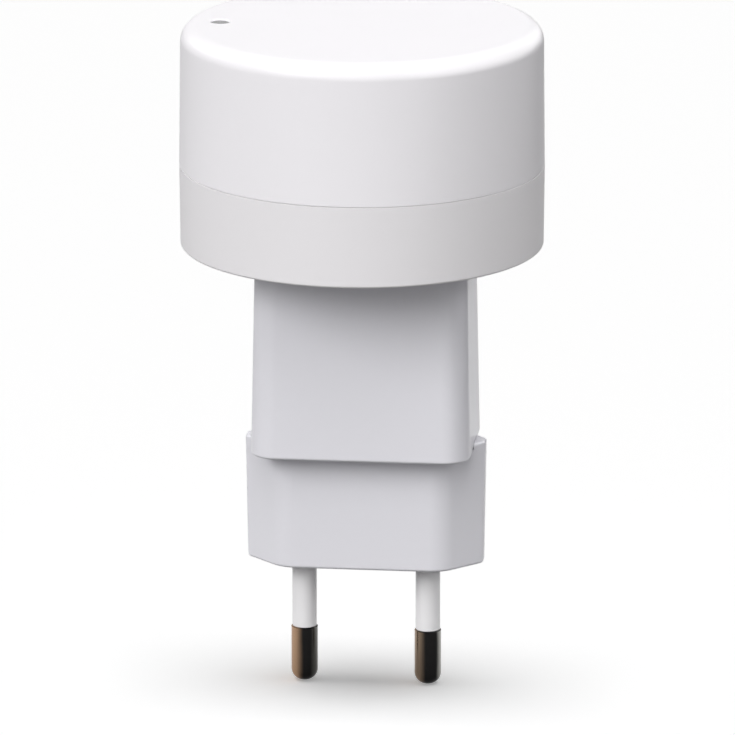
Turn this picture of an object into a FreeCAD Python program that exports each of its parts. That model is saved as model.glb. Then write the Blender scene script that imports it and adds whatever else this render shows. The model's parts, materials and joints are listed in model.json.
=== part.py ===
import FreeCAD, Part
import math
import os

V = FreeCAD.Vector

# Lengths are in millimetres, angles in degrees. The origin is the middle of the
# plug's face, between the pins. Z runs out of the wall, through the adapter and
# up through the gateway. The pins stand side by side along X, below Z = 0, and
# the front is towards -Y.

# Pins and sleeves of the two-pin plug
pin_spacing = 18.6
pin_diameter = 4.0
pin_length = 19.3
pin_tip_radius = 1.75
pin_root_height = 7.0
pin_collar_diameter = 5.0
pin_collar_height = 1.2
rivet_diameter = 1.6
rivet_head_diameter = 2.4
rivet_head_height = 0.6
rivet_head_edge = 0.3
shank_diameter = 3.0
sleeve_diameter = 3.68
sleeve_length = 10.8
sleeve_anchor = 1.0

# Plug base, an eight-sided block with its four long corners cut at 45 degrees
plug_width = 35.4
plug_depth = 13.2
plug_height = 18.1
plug_cheek_height = 0.9
plug_cheek_clearance = 0.1
plug_corner_cut = 5.6
plug_draft = 0.9
plug_face_thickness = 3.0
plug_wall = 2.0
plug_front_corner_radius = 5.0
plug_end_corner_radius = 1.2
plug_face_edge_radius = 0.5
plug_shoulder_edge_radius = 0.4
plug_cavity_width = 25.0
pin_boss_diameter = 7.4
flange_thickness = 2.0
flange_clearance = 0.1

# Adapter body, the tapered box between the plug and the gateway
body_width = 32.7
body_front = 11.4
body_back = 9.8
body_height = 30.8
body_draft = 1.1
body_wall = 1.8
body_corner_radius = 2.75
body_bottom_edge_radius = 0.5
body_top_edge = 0.3

# Contact strips between the pins and the adapter's board
strip_width = 2.5
strip_thickness = 0.4
strip_bend_radius = 0.8
strip_foot_overhang = 2.0
strip_board_lap = 3.0

# Adapter board and the guides that hold its edges
board_thickness = 1.6
board_side_clearance = 0.3
board_top_clearance = 0.2
guide_width = 1.2
guide_grip = 1.0
guide_clearance = 0.1
guide_root = 0.8
lead_diameter = 0.6
lead_hole_clearance = 0.1
lead_stub = 0.9
lead_bend_radius = 0.8
part_gap = 0.4

# USB plug of the gateway
usb_plug_width = 12.0
usb_plug_depth = 4.5
usb_plug_reach = 11.75
usb_sheet = 0.3
usb_window_width = 2.5
usb_window_height = 2.0
usb_window_inset = 5.2
usb_window_offset = 2.4
usb_block_height = 4.6
usb_tab_width = 2.2
usb_tab_stub = 0.8
usb_slot_clearance = 0.1
usb_fit = 0.05

# USB socket of the adapter
usb_socket_width = 12.5
usb_socket_depth = 5.1
usb_socket_length = 14.0
usb_socket_tab_width = 1.6
usb_socket_back_height = 3.0
usb_tongue_length = 8.4
usb_tongue_thickness = 1.84
usb_tongue_side_clearance = 0.15
usb_mouth_clearance = 0.25

# USB contacts, four abreast
contact_outer_pitch = 7.0
contact_inner_pitch = 2.0
contact_width = 1.0
contact_thickness = 0.25
contact_step = 0.08
contact_tip_inset = 1.0

# Transformer
core_depth = 5.6
core_back = 1.7
core_leg = 1.7
core_centre_leg = 3.2
bobbin_depth = 9.6
bobbin_tube = 0.5
bobbin_flange = 1.2
bobbin_clearance = 0.1
winding_inset = 0.5
winding_corner_radius = 1.0
transformer_pin_pitch = 2.8
transformer_pins_per_flange = 3
transformer_pin_anchor = 1.2

# Other parts of the adapter's board
can_groove = 0.35
can_groove_inset = 1.6
can_edge = 0.4
can_lead_pitch = 2.5
lead_room = 2.4
disc_thickness = 3.2
disc_edge = 0.9
disc_lead_pitch = 4.0
fuse_diameter = 1.9
fuse_cap_length = 0.9
fuse_cap_step = 0.15

# Moulded chips on bent legs: width, length and height of the body, then reach,
# pitch and width of the legs, and the number of legs on the right and on the left
rectifier_sizes = (3.9, 4.7, 2.4, 1.3, 2.54, 0.6)
rectifier_legs = (2, 2)
controller_sizes = (3.9, 4.9, 1.6, 1.05, 1.27, 0.4)
controller_legs = (4, 4)
diode_sizes = (4.3, 3.6, 2.2, 0.9, 3.6, 2.0)
diode_legs = (1, 1)
memory_sizes = (3.9, 4.9, 1.6, 1.05, 1.27, 0.4)
memory_legs = (4, 4)
regulator_sizes = (3.5, 6.5, 1.6, 1.7, 2.3, 0.7)
regulator_legs = (3, 1)
regulator_tab = (1.7, 3.0, 0.25)
chip_rise = 0.1
chip_edge = 0.15
chip_leg_sheet = 0.2

# Shells of the gateway
gateway_offset = -0.6
gateway_diameter = 54.0
base_height = 12.1
base_floor = 2.0
base_draft = 0.5
base_edge_radius = 0.4
cover_height = 21.1
cover_ceiling = 1.8
cover_draft = 0.7
cover_edge_radius = 2.5
shell_wall = 1.8
inner_corner = 0.8
seam_gap = 0.1
seam_edge = 0.08
tongue_thickness = 0.8
tongue_height = 1.8
tongue_clearance = 0.05

# Snap hooks that hold the cover on the base
hook_count = 4
hook_width = 6.0
hook_thickness = 1.2
hook_height = 8.0
hook_root = 5.0
hook_clearance = 0.15
hook_barb = 0.6
hook_barb_height = 1.8
hook_wall_bite = 0.4

# Main board, its posts and screws
main_board_thickness = 1.6
main_board_clearance = 0.3
post_count = 3
post_heading = 30.0
post_inset = 6.5
post_height = 4.0
post_diameter = 5.5
screw_diameter = 2.0
screw_length = 5.0
screw_head_diameter = 3.8
screw_head_height = 1.3
screw_head_edge = 0.6
screw_tip_height = 0.6
screw_clearance = 0.15
screw_thread_clearance = 0.02
screw_recess_width = 0.5
screw_recess_depth = 0.7
plug_collar_wall = 1.2
plug_collar_height = 2.4

# Light pipe and the lamp under it
light_inset = 6.1
light_turn = 182.6
light_diameter = 2.7
light_clearance = 0.08
light_recess = 0.15
light_collar_diameter = 3.8
light_collar_height = 1.0
light_tube_wall = 0.8
light_tube_height = 6.0
light_hole_chamfer = 0.15
lamp_length = 2.0
lamp_width = 1.25
lamp_height = 0.8
lamp_lens_length = 1.2
lamp_gap = 0.25

# Parts on the main board, with their places measured from the gateway's axis
wifi_board_width = 13.2
wifi_board_length = 16.6
wifi_board_thickness = 0.8
wifi_board_place = (0.0, 11.6)
wifi_notch_pitch = 1.5
wifi_notch_count = 7
wifi_notch_diameter = 0.8
wifi_shield_height = 2.2
wifi_shield_length = 11.2
wifi_shield_sheet = 0.2
wifi_shield_inset = 0.7
wifi_shield_edge_radius = 0.4
antenna_trace = 0.5
antenna_thickness = 0.1
antenna_turns = 4
bluetooth_chip_size = 6.0
bluetooth_chip_height = 0.9
bluetooth_chip_edge = 0.1
bluetooth_chip_place = (11.5, 2.6)
bluetooth_antenna_size = (2.0, 7.0, 1.1)
bluetooth_antenna_edge = 0.2
bluetooth_antenna_inset = 4.0
crystal_size = (3.2, 2.5, 0.8)
crystal_edge_radius = 0.25
crystal_place = (11.5, -2.2)
memory_place = (-10.4, 3.0)
regulator_place = (14.0, -8.2)
inductor_place = (6.4, -10.2)
inductor_size = 6.0
inductor_height = 3.4
inductor_flange = 0.6
inductor_flange_inset = 0.1
inductor_waist = 0.5
foot_corner_cut = 1.1
buffer_places = ((-12.2, -4.4), (-8.6, -11.0))
buffer_diameter = 5.0
buffer_base = 5.3
buffer_base_height = 1.2
buffer_groove_height = 0.9
buffer_height = 5.4

# Heights where the pieces meet
body_top = plug_height + body_height
seam = body_top + base_height
gateway_top = seam + cover_height
flange_top = plug_height + flange_thickness
cheek_top = plug_height + plug_cheek_height
gateway_radius = gateway_diameter / 2


def slope(angle):
    """Sideways run of a drafted wall for each millimetre of height."""
    return math.tan(math.radians(angle))


def box(x0, x1, y0, y1, z0, z1):
    """A block between two corners."""
    return Part.makeBox(x1 - x0, y1 - y0, z1 - z0, V(x0, y0, z0))


def centred_box(x, y, width, depth, z0, z1):
    """A block that stands on Z = z0 with its middle over (x, y)."""
    return box(x - width / 2, x + width / 2, y - depth / 2, y + depth / 2, z0, z1)


def cylinder(x, y, z0, z1, diameter):
    """An upright cylinder."""
    return Part.makeCylinder(diameter / 2, z1 - z0, V(x, y, z0))


def cylinder_along_y(x, z, y0, y1, diameter):
    """A cylinder that runs front to back."""
    return Part.makeCylinder(diameter / 2, y1 - y0, V(x, y0, z), V(0, 1, 0))


def rounded_wire(corners, place):
    """A closed wire through (a, b, radius) corners, each rounded by an arc."""
    edges = []
    starts = []
    ends = []
    mids = []
    count = len(corners)
    for i, (a, b, radius) in enumerate(corners):
        here = V(a, b, 0)
        back = V(corners[i - 1][0], corners[i - 1][1], 0) - here
        ahead = V(corners[(i + 1) % count][0], corners[(i + 1) % count][1], 0) - here
        back.normalize()
        ahead.normalize()
        half = back.getAngle(ahead) / 2
        if radius > 0:
            run = radius / math.tan(half)
            bisector = back + ahead
            bisector.normalize()
            starts.append(here + back * run)
            ends.append(here + ahead * run)
            mids.append(here + bisector * (radius / math.sin(half) - radius))
        else:
            starts.append(here)
            ends.append(here)
            mids.append(None)
    for i in range(count):
        if mids[i] is not None:
            arc = Part.Arc(place(*starts[i][:2]), place(*mids[i][:2]), place(*ends[i][:2]))
            edges.append(arc.toShape())
        following = (i + 1) % count
        if (starts[following] - ends[i]).Length > 1e-6:
            edges.append(Part.makeLine(place(*ends[i][:2]), place(*starts[following][:2])))
    return Part.Wire(edges)


def level(z):
    """Puts a flat outline at height z."""
    return lambda x, y: V(x, y, z)


def turned(profile, x=0.0, y=0.0, angle=360.0):
    """Turns a profile of (radius, height, corner radius) about the upright axis at (x, y)."""
    wire = rounded_wire(profile, lambda r, z: V(x + r, y, z))
    return Part.Face(wire).revolve(V(x, y, 0), V(0, 0, 1), angle)


def sector(profile, x, y, width, radius, heading):
    """Turns a profile through the angle that spans width at radius, about a heading."""
    angle = math.degrees(width / radius)
    shape = turned(profile, x, y, angle)
    shape.rotate(V(x, y, 0), V(0, 0, 1), heading - angle / 2)
    return shape


def between(lower, upper):
    """The solid with straight sides between two outlines of the same kind."""
    return Part.makeLoft([lower, upper], True, True)


def edges_at(shape, z):
    """The edges of a shape that lie in the plane at height z."""
    flat = []
    for edge in shape.Edges:
        box_of_edge = edge.BoundBox
        if abs(box_of_edge.ZMin - z) < 1e-4 and abs(box_of_edge.ZMax - z) < 1e-4:
            flat.append(edge)
    return flat


def upright_edges(shape):
    """The edges of a shape that run straight up."""
    return [edge for edge in shape.Edges
            if edge.BoundBox.XLength < 1e-4 and edge.BoundBox.YLength < 1e-4]


def around(count, first):
    """Headings of things spaced evenly about an axis."""
    return [first + 360.0 * i / count for i in range(count)]


def pin_sides():
    """X places of the left and the right pin."""
    return (-pin_spacing / 2, pin_spacing / 2)


# Plug and pins


def pin(x):
    """A pin with its rounded tip, the thinner shank, the collar and the rivet."""
    tip = pin_diameter / 2
    shank = shank_diameter / 2
    collar_bottom = sleeve_anchor + pin_collar_height / 2
    collar_top = collar_bottom + pin_collar_height
    rivet_top = pin_root_height + strip_thickness
    profile = [
        (0, -pin_length, 0),
        (tip, -pin_length, pin_tip_radius),
        (tip, -sleeve_length, 0),
        (shank, -sleeve_length, 0),
        (shank, sleeve_anchor, 0),
        (tip, sleeve_anchor, 0),
        (tip, collar_bottom, 0),
        (pin_collar_diameter / 2, collar_bottom, 0),
        (pin_collar_diameter / 2, collar_top, 0),
        (tip, collar_top, 0),
        (tip, pin_root_height, 0),
        (rivet_diameter / 2, pin_root_height, 0),
        (rivet_diameter / 2, rivet_top, 0),
        (rivet_head_diameter / 2, rivet_top, 0),
        (rivet_head_diameter / 2, rivet_top + rivet_head_height - rivet_head_edge, 0),
        (rivet_head_diameter / 2 - rivet_head_edge, rivet_top + rivet_head_height, 0),
        (0, rivet_top + rivet_head_height, 0),
    ]
    return turned(profile, x)


def pin_sleeve(x):
    """The insulating sleeve on a pin's shank, held in the plug's face."""
    profile = [
        (shank_diameter / 2, -sleeve_length, 0),
        (sleeve_diameter / 2, -sleeve_length, 0),
        (sleeve_diameter / 2, sleeve_anchor, 0),
        (shank_diameter / 2, sleeve_anchor, 0),
    ]
    return turned(profile, x)


def plug_outline(z, inset):
    """The plug's eight-sided outline at height z, drawn in by inset."""
    grow = z * slope(plug_draft) - inset
    half_width = plug_width / 2 + grow
    half_depth = plug_depth / 2 + grow
    cut = plug_corner_cut + grow * (2 - math.sqrt(2))
    long_radius = max(plug_front_corner_radius - inset, 0.5)
    end_radius = max(plug_end_corner_radius - inset, 0.1)
    quarter = [
        (half_width, half_depth - cut, end_radius),
        (half_width - cut, half_depth, long_radius),
    ]
    corners = quarter + [(-x, y, r) for x, y, r in reversed(quarter)]
    corners += [(-x, -y, r) for x, y, r in quarter]
    corners += [(x, -y, r) for x, y, r in reversed(quarter)]
    return rounded_wire(corners, level(z))


def plug_cavity():
    """The space inside the plug, open upwards through the flange."""
    space = between(plug_outline(plug_face_thickness, plug_wall), plug_outline(flange_top, plug_wall))
    half = plug_cavity_width / 2
    return space.common(box(-half, half, -plug_depth, plug_depth, 0, flange_top))


def body_seat():
    """The slot across the plug's top that the body stands in, between two cheeks."""
    half = body_width / 2 + plug_cheek_clearance
    return box(-half, half, -plug_depth, plug_depth, plug_height, cheek_top)


def plug_base():
    """The plug block with the flange that closes the body from below."""
    block = between(plug_outline(0, 0), plug_outline(cheek_top, 0))
    block = block.makeFillet(plug_face_edge_radius, edges_at(block, 0))
    block = block.makeFillet(plug_shoulder_edge_radius, edges_at(block, cheek_top))
    block = block.cut(body_seat())
    flange = Part.Face(body_outline(flange_top, body_wall + flange_clearance))
    flange = flange.extrude(V(0, 0, -flange_thickness))
    block = block.fuse(flange).cut(plug_cavity())
    for x in pin_sides():
        block = block.fuse(cylinder(x, 0, plug_face_thickness, pin_root_height, pin_boss_diameter))
    for x in pin_sides():
        block = block.cut(pin(x)).cut(pin_sleeve(x))
    return block.removeSplitter()


# Adapter body


def body_middle():
    """Y of the middle of the adapter body."""
    return (body_back - body_front) / 2


def body_shrink(z):
    """How far the drafted body has drawn in at height z."""
    return (z - plug_height) * slope(body_draft)


def body_outline(z, inset):
    """The body's outline at height z, drawn in by inset."""
    shrink = body_shrink(z) + inset
    half = body_width / 2 - shrink
    front = -body_front + shrink
    back = body_back - shrink
    radius = max(body_corner_radius - inset, 0.5)
    corners = [(half, back, radius), (-half, back, radius), (-half, front, radius), (half, front, radius)]
    return rounded_wire(corners, level(z))


def ceiling():
    """Height of the underside of the body's top wall."""
    return body_top - body_wall


def cavity_half_width():
    """Half the width of the body's inside at its narrow top."""
    return body_width / 2 - body_shrink(ceiling()) - body_wall


def board_half_width():
    """Half the width of the adapter's board."""
    return cavity_half_width() - board_side_clearance


def board_front():
    """Y of the board's front face, against the back of the USB socket."""
    return body_middle() + usb_socket_depth / 2 + usb_sheet


def board_back():
    """Y of the board's back face."""
    return board_front() + board_thickness


def board_top():
    """Height of the board's upper edge."""
    return ceiling() - board_top_clearance


def guide_ribs():
    """Four upright ribs, one in front of and one behind each edge of the board."""
    ribs = []
    inner = board_half_width() - guide_grip
    outer = cavity_half_width() + guide_root
    in_front = board_front() - guide_clearance
    behind = board_back() + guide_clearance
    for side in (-1, 1):
        x0 = min(side * inner, side * outer)
        x1 = max(side * inner, side * outer)
        ribs.append(box(x0, x1, in_front - guide_width, in_front, flange_top, ceiling()))
        ribs.append(box(x0, x1, behind, behind + guide_width, flange_top, ceiling()))
    return ribs


def adapter_body():
    """The drafted body shell, open below, with the USB mouth in its top."""
    shell = between(body_outline(plug_height, 0), body_outline(body_top, 0))
    shell = shell.makeFillet(body_bottom_edge_radius, edges_at(shell, plug_height))
    shell = shell.makeChamfer(body_top_edge, edges_at(shell, body_top))
    below = plug_height - body_wall
    shell = shell.cut(between(body_outline(below, body_wall), body_outline(ceiling(), body_wall)))
    mouth = centred_box(0, body_middle(), usb_plug_width + 2 * usb_mouth_clearance,
                        usb_plug_depth + 2 * usb_mouth_clearance, ceiling(), body_top)
    return shell.multiFuse(guide_ribs()).cut(mouth).removeSplitter()


def contact_strip(x):
    """A bent strip from a pin's rivet up to the front of the board."""
    outside = board_front()
    inside = outside - strip_thickness
    foot = pin_root_height
    inner_radius = strip_bend_radius - strip_thickness
    profile = [
        (-strip_foot_overhang, foot, 0),
        (outside, foot, strip_bend_radius),
        (outside, strip_top(), 0),
        (inside, strip_top(), 0),
        (inside, foot + strip_thickness, inner_radius),
        (-strip_foot_overhang, foot + strip_thickness, 0),
    ]
    left = x - strip_width / 2
    face = Part.Face(rounded_wire(profile, lambda y, z: V(left, y, z)))
    strip = face.extrude(V(strip_width, 0, 0))
    return strip.cut(cylinder(x, 0, foot, foot + strip_thickness, rivet_diameter))


# Adapter board with its through leads


def column_middle():
    """X of the middle of the free column beside the USB socket."""
    return (column_inner() + column_outer()) / 2


def column_inner():
    """X where the free column starts, beside the USB socket."""
    return usb_socket_width / 2 + usb_sheet + part_gap


def column_outer():
    """X where the free column ends, at the body's wall."""
    return cavity_half_width() - part_gap


def can_diameter():
    """The largest can that stands in the column with its gap on both sides."""
    return column_outer() - column_inner()


def strip_top():
    """Height of the contact strips' upper ends, soldered to the board."""
    return flange_top + strip_board_lap


def row_height():
    """Height of one of the two rows of parts, over the contact strips."""
    return (board_top() - strip_top()) / 2


def row_bottom(row):
    """Lowest height of a part in row 0 or 1."""
    return strip_top() + row * row_height() + part_gap


def row_back():
    """Y of the back of the parts in the columns, in front of the guide ribs."""
    return board_front() - guide_clearance - guide_width - part_gap / 2


def can_length():
    """Length of a capacitor can, with room for its bent leads above it."""
    return row_height() - lead_room


def can_lead_height(row):
    """Height at which the bent leads of the can in a row enter the board."""
    return row_bottom(row) + can_length() + lead_bend_radius + part_gap / 2


def can_y():
    """Y of a can's axis in front of the board."""
    return row_back() - can_diameter() / 2


def cans():
    """Column side and row of each capacitor can, by name."""
    return {
        "input_capacitor_lower": (-1, 0),
        "input_capacitor_upper": (-1, 1),
        "output_capacitor": (1, 1),
    }


def can_leads(side, row):
    """X and Z where a can's two leads enter the board."""
    x = side * column_middle()
    half = can_lead_pitch / 2
    return [(x - half, can_lead_height(row)), (x + half, can_lead_height(row))]


def disc_centre():
    """X and Z of the middle of the safety capacitor."""
    return (column_middle(), row_bottom(0) + can_diameter() / 2)


def disc_leads():
    """X and Z of the safety capacitor's leads."""
    x, z = disc_centre()
    return [(x, z - disc_lead_pitch / 2), (x, z + disc_lead_pitch / 2)]


def fuse_height():
    """Height of the fuse resistor's axis, over the safety capacitor."""
    return disc_centre()[1] + can_diameter() / 2 + part_gap + fuse_diameter / 2


def fuse_lead_span():
    """X of the fuse resistor's two bent leads, between the socket and the guide ribs."""
    inner = column_inner() + lead_diameter / 2
    outer = board_half_width() - guide_grip - (part_gap + lead_diameter) / 2
    return inner, outer


def fuse_leads():
    """X and Z of the fuse resistor's leads."""
    return [(x, fuse_height()) for x in fuse_lead_span()]


def round_leads():
    """X and Z of every round lead that goes through the adapter's board."""
    leads = disc_leads() + fuse_leads() + transformer_pin_places()
    for side, row in cans().values():
        leads += can_leads(side, row)
    return leads


def adapter_board():
    """The upright board with holes for every lead."""
    half = board_half_width()
    board = box(-half, half, board_front(), board_back(), flange_top, board_top())
    holes = []
    for x, z in round_leads():
        diameter = lead_diameter + 2 * lead_hole_clearance
        holes.append(cylinder_along_y(x, z, board_front(), board_back(), diameter))
    for tab in socket_tabs(usb_slot_clearance) + socket_legs(usb_slot_clearance):
        holes.append(tab)
    return board.cut(holes)


def stub_end():
    """Y where a lead ends behind the board."""
    return board_back() + lead_stub


def bent_lead(start, corner, end):
    """A round wire that turns once on its way."""
    back = (start - corner).normalize()
    ahead = (end - corner).normalize()
    first = corner + back * lead_bend_radius
    last = corner + ahead * lead_bend_radius
    bisector = (back + ahead).normalize()
    middle = corner + bisector * (lead_bend_radius * (math.sqrt(2) - 1))
    path = Part.Wire([
        Part.makeLine(start, first),
        Part.Arc(first, middle, last).toShape(),
        Part.makeLine(last, end),
    ])
    section = Part.Wire([Part.makeCircle(lead_diameter / 2, start, corner - start)])
    return path.makePipeShell([section], True, False)


def can_capacitor(side, row):
    """A capacitor can beside the socket, with its groove and two bent leads."""
    x = side * column_middle()
    y = can_y()
    bottom = row_bottom(row)
    top = bottom + can_length()
    radius = can_diameter() / 2
    groove = top - can_groove_inset
    profile = [
        (0, bottom, 0),
        (radius - can_edge, bottom, 0),
        (radius, bottom + can_edge, 0),
        (radius, groove - can_groove, 0),
        (radius - can_groove, groove, 0),
        (radius, groove + can_groove, 0),
        (radius, top - can_edge, 0),
        (radius - can_edge, top, 0),
        (0, top, 0),
    ]
    can = turned(profile, x, y)
    for lead_x, lead_z in can_leads(side, row):
        corner = V(lead_x, y, lead_z)
        start = V(lead_x, y, top - can_edge)
        can = can.fuse(bent_lead(start, corner, V(lead_x, stub_end(), lead_z)))
    return can


def safety_capacitor():
    """A round disc in front of the board, on two straight leads."""
    x, z = disc_centre()
    back = row_back()
    disc = cylinder_along_y(x, z, back - disc_thickness, back, can_diameter())
    disc = disc.makeChamfer(disc_edge, disc.Edges)
    root = back - disc_thickness / 2
    for lead_x, lead_z in disc_leads():
        disc = disc.fuse(cylinder_along_y(lead_x, lead_z, root, stub_end(), lead_diameter))
    return disc


def fuse_resistor():
    """A resistor with pressed end caps, lying across the column."""
    z = fuse_height()
    y = row_back() - fuse_diameter / 2
    inner, outer = fuse_lead_span()
    start = inner + lead_bend_radius
    end = outer - lead_bend_radius
    radius = fuse_diameter / 2
    body = Part.makeCylinder(radius - fuse_cap_step, end - start, V(start, y, z), V(1, 0, 0))
    for cap in (start, end - fuse_cap_length):
        body = body.fuse(Part.makeCylinder(radius, fuse_cap_length, V(cap, y, z), V(1, 0, 0)))
    for x, root in ((inner, start + fuse_cap_length), (outer, end - fuse_cap_length)):
        body = body.fuse(bent_lead(V(root, y, z), V(x, y, z), V(x, stub_end(), z)))
    return body


# USB socket


def socket_bottom():
    """Height of the closed end of the USB socket."""
    return ceiling() - usb_socket_length


def contact_places():
    """X of the four contacts."""
    outer = contact_outer_pitch / 2
    inner = contact_inner_pitch / 2
    return (-outer, -inner, inner, outer)


def contact_plane():
    """Y where the plug's contacts and the socket's contacts meet."""
    return body_middle() - usb_fit


def socket_tabs(clearance=0.0):
    """The socket's two tabs, which go back through the board."""
    middle = ceiling() - usb_socket_length / 2
    half = usb_socket_tab_width / 2 + clearance
    tabs = []
    for side in (-1, 1):
        x = side * (usb_socket_width + usb_sheet) / 2
        width = usb_sheet + 2 * clearance
        start = board_front() - usb_sheet * (clearance == 0)
        tabs.append(box(x - width / 2, x + width / 2, start, board_back() + usb_tab_stub,
                        middle - half, middle + half))
    return tabs


def leg_height():
    """Height of the socket contacts' legs, just below the socket."""
    return socket_bottom() - part_gap


def socket_legs(clearance=0.0):
    """The legs of the socket's contacts, which go back through the board."""
    legs = []
    start = contact_plane() if clearance == 0 else board_front()
    for x in contact_places():
        half = contact_width / 2 + clearance
        legs.append(box(x - half, x + half, start, board_back() + usb_tab_stub,
                        leg_height() - contact_thickness - clearance, leg_height() + clearance))
    return legs


def usb_socket_shell():
    """The folded sheet round the socket."""
    y = body_middle()
    outside = centred_box(0, y, usb_socket_width + 2 * usb_sheet, usb_socket_depth + 2 * usb_sheet,
                          socket_bottom(), ceiling())
    inside = centred_box(0, y, usb_socket_width, usb_socket_depth, socket_bottom(), ceiling())
    shell = outside.makeFillet(usb_sheet, upright_edges(outside)).cut(inside)
    return shell.multiFuse(socket_tabs()).removeSplitter()


def socket_contact_blanks():
    """The four contacts of the socket, each a strip with its leg."""
    blanks = []
    top = socket_bottom() + usb_socket_back_height + usb_tongue_length - contact_tip_inset
    plane = contact_plane()
    for x, leg in zip(contact_places(), socket_legs()):
        half = contact_width / 2
        strip = box(x - half, x + half, plane, plane + contact_thickness, leg_height(), top)
        blanks.append(strip.fuse(leg).removeSplitter())
    return blanks


def usb_socket_contacts():
    """The four contacts of the socket as one group."""
    return Part.makeCompound(socket_contact_blanks())


def usb_socket_insulator():
    """The socket's back block and its tongue, with the contacts let in."""
    y = body_middle()
    block_top = socket_bottom() + usb_socket_back_height
    block = centred_box(0, y, usb_socket_width, usb_socket_depth, socket_bottom(), block_top)
    half = usb_plug_width / 2 - usb_sheet - usb_tongue_side_clearance
    tongue_front = contact_plane() + contact_step
    tongue = box(-half, half, tongue_front, tongue_front + usb_tongue_thickness - contact_thickness,
                 block_top, block_top + usb_tongue_length)
    return block.fuse(tongue).cut(socket_contact_blanks()).removeSplitter()


# Transformer


def transformer_bottom():
    """Lowest height of the transformer's core."""
    return flange_top + part_gap


def transformer_top():
    """Highest point of the transformer's core, below the socket's legs."""
    return leg_height() - contact_thickness - part_gap


def transformer_middle():
    """Height of the joint between the two core halves."""
    return (transformer_bottom() + transformer_top()) / 2


def core_half_width():
    """Half the width of the core, as wide as the USB socket."""
    return usb_socket_width / 2 + usb_sheet


def bobbin_half_width():
    """Half the width of the bobbin, which fits the core's window."""
    return core_half_width() - core_leg - bobbin_clearance


def transformer_y():
    """Y of the middle of the transformer."""
    return board_front() - bobbin_depth / 2


def transformer_core(upper):
    """One E-shaped half of the ferrite core."""
    sign = 1 if upper else -1
    middle = transformer_middle()
    end = transformer_top() if upper else transformer_bottom()
    inner = end - sign * core_back
    half = core_half_width()
    leg = core_centre_leg / 2
    profile = [
        (-half, end), (half, end), (half, middle), (half - core_leg, middle),
        (half - core_leg, inner), (leg, inner), (leg, middle), (-leg, middle),
        (-leg, inner), (core_leg - half, inner), (core_leg - half, middle), (-half, middle),
    ]
    front = transformer_y() - core_depth / 2
    points = [V(x, front, z) for x, z in profile]
    face = Part.Face(Part.makePolygon(points + points[:1]))
    return face.extrude(V(0, core_depth, 0))


def bobbin_span():
    """Lowest and highest point of the bobbin, inside the core's window."""
    low = transformer_bottom() + core_back + bobbin_clearance
    high = transformer_top() - core_back - bobbin_clearance
    return low, high


def transformer_pin_places():
    """X and Z of the transformer's pins."""
    low, high = bobbin_span()
    middle = (transformer_pins_per_flange - 1) / 2
    places = []
    for z in (low + bobbin_flange / 2, high - bobbin_flange / 2):
        for i in range(transformer_pins_per_flange):
            places.append(((i - middle) * transformer_pin_pitch, z))
    return places


def transformer_pins():
    """The round pins that join the bobbin to the board."""
    start = board_front() - transformer_pin_anchor
    pins = [cylinder_along_y(x, z, start, stub_end(), lead_diameter) for x, z in transformer_pin_places()]
    return Part.makeCompound(pins)


def bobbin_tube_size():
    """Outer width and depth of the bobbin's tube round the centre leg."""
    wall = 2 * (bobbin_tube + bobbin_clearance)
    return core_centre_leg + wall, core_depth + wall


def transformer_bobbin():
    """The former of the winding, a tube between two flanges."""
    low, high = bobbin_span()
    y = transformer_y()
    width, depth = bobbin_tube_size()
    tube = centred_box(0, y, width, depth, low, high)
    full = 2 * bobbin_half_width()
    lower = centred_box(0, y, full, bobbin_depth, low, low + bobbin_flange)
    upper = centred_box(0, y, full, bobbin_depth, high - bobbin_flange, high)
    hole = centred_box(0, y, width - 2 * bobbin_tube, depth - 2 * bobbin_tube, low, high)
    bobbin = tube.fuse(lower).fuse(upper).cut(hole)
    return bobbin.cut(transformer_pins()).removeSplitter()


def transformer_winding():
    """The taped winding, a ring with round corners between the flanges."""
    low, high = bobbin_span()
    y = transformer_y()
    half_x = bobbin_half_width() - winding_inset
    half_y = bobbin_depth / 2 - winding_inset
    r = winding_corner_radius
    corners = [(half_x, y + half_y, r), (-half_x, y + half_y, r),
               (-half_x, y - half_y, r), (half_x, y - half_y, r)]
    bottom = low + bobbin_flange
    height = high - low - 2 * bobbin_flange
    ring = Part.Face(rounded_wire(corners, level(bottom))).extrude(V(0, 0, height))
    width, depth = bobbin_tube_size()
    return ring.cut(centred_box(0, y, width, depth, bottom, bottom + height))


# Surface parts


def leg_of_chip(reach, height, width):
    """A bent leg that leaves a chip's side along +X and stands on Z = 0."""
    sheet = chip_leg_sheet
    mid = height / 2
    profile = [(0, mid), (reach / 2, mid), (reach / 2, 0), (reach, 0), (reach, sheet),
               (reach / 2 + sheet, sheet), (reach / 2 + sheet, mid + sheet), (0, mid + sheet)]
    points = [V(x, -width / 2, z) for x, z in profile]
    return Part.Face(Part.makePolygon(points + points[:1])).extrude(V(0, width, 0))


def legged_chip(sizes, legs_on_sides):
    """A moulded chip on bent legs, standing on Z = 0 about the origin."""
    width, length, height, reach, pitch, leg_width = sizes
    chip = centred_box(0, 0, width, length, chip_rise, height)
    chip = chip.makeChamfer(chip_edge, edges_at(chip, height))
    for side, legs in zip((1, -1), legs_on_sides):
        for i in range(legs):
            leg = leg_of_chip(reach, height, leg_width)
            if side < 0:
                leg.rotate(V(0, 0, 0), V(0, 0, 1), 180)
            leg.translate(V(side * width / 2, (i - (legs - 1) / 2) * pitch, 0))
            chip = chip.fuse(leg)
    return chip.removeSplitter()


def behind_board(shape, x, z, turn):
    """Turns a surface part to stand on the back of the adapter's board."""
    shape.rotate(V(0, 0, 0), V(0, 0, 1), turn)
    shape.rotate(V(0, 0, 0), V(1, 0, 0), -90)
    shape.translate(V(x, board_back(), z))
    return shape


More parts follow.
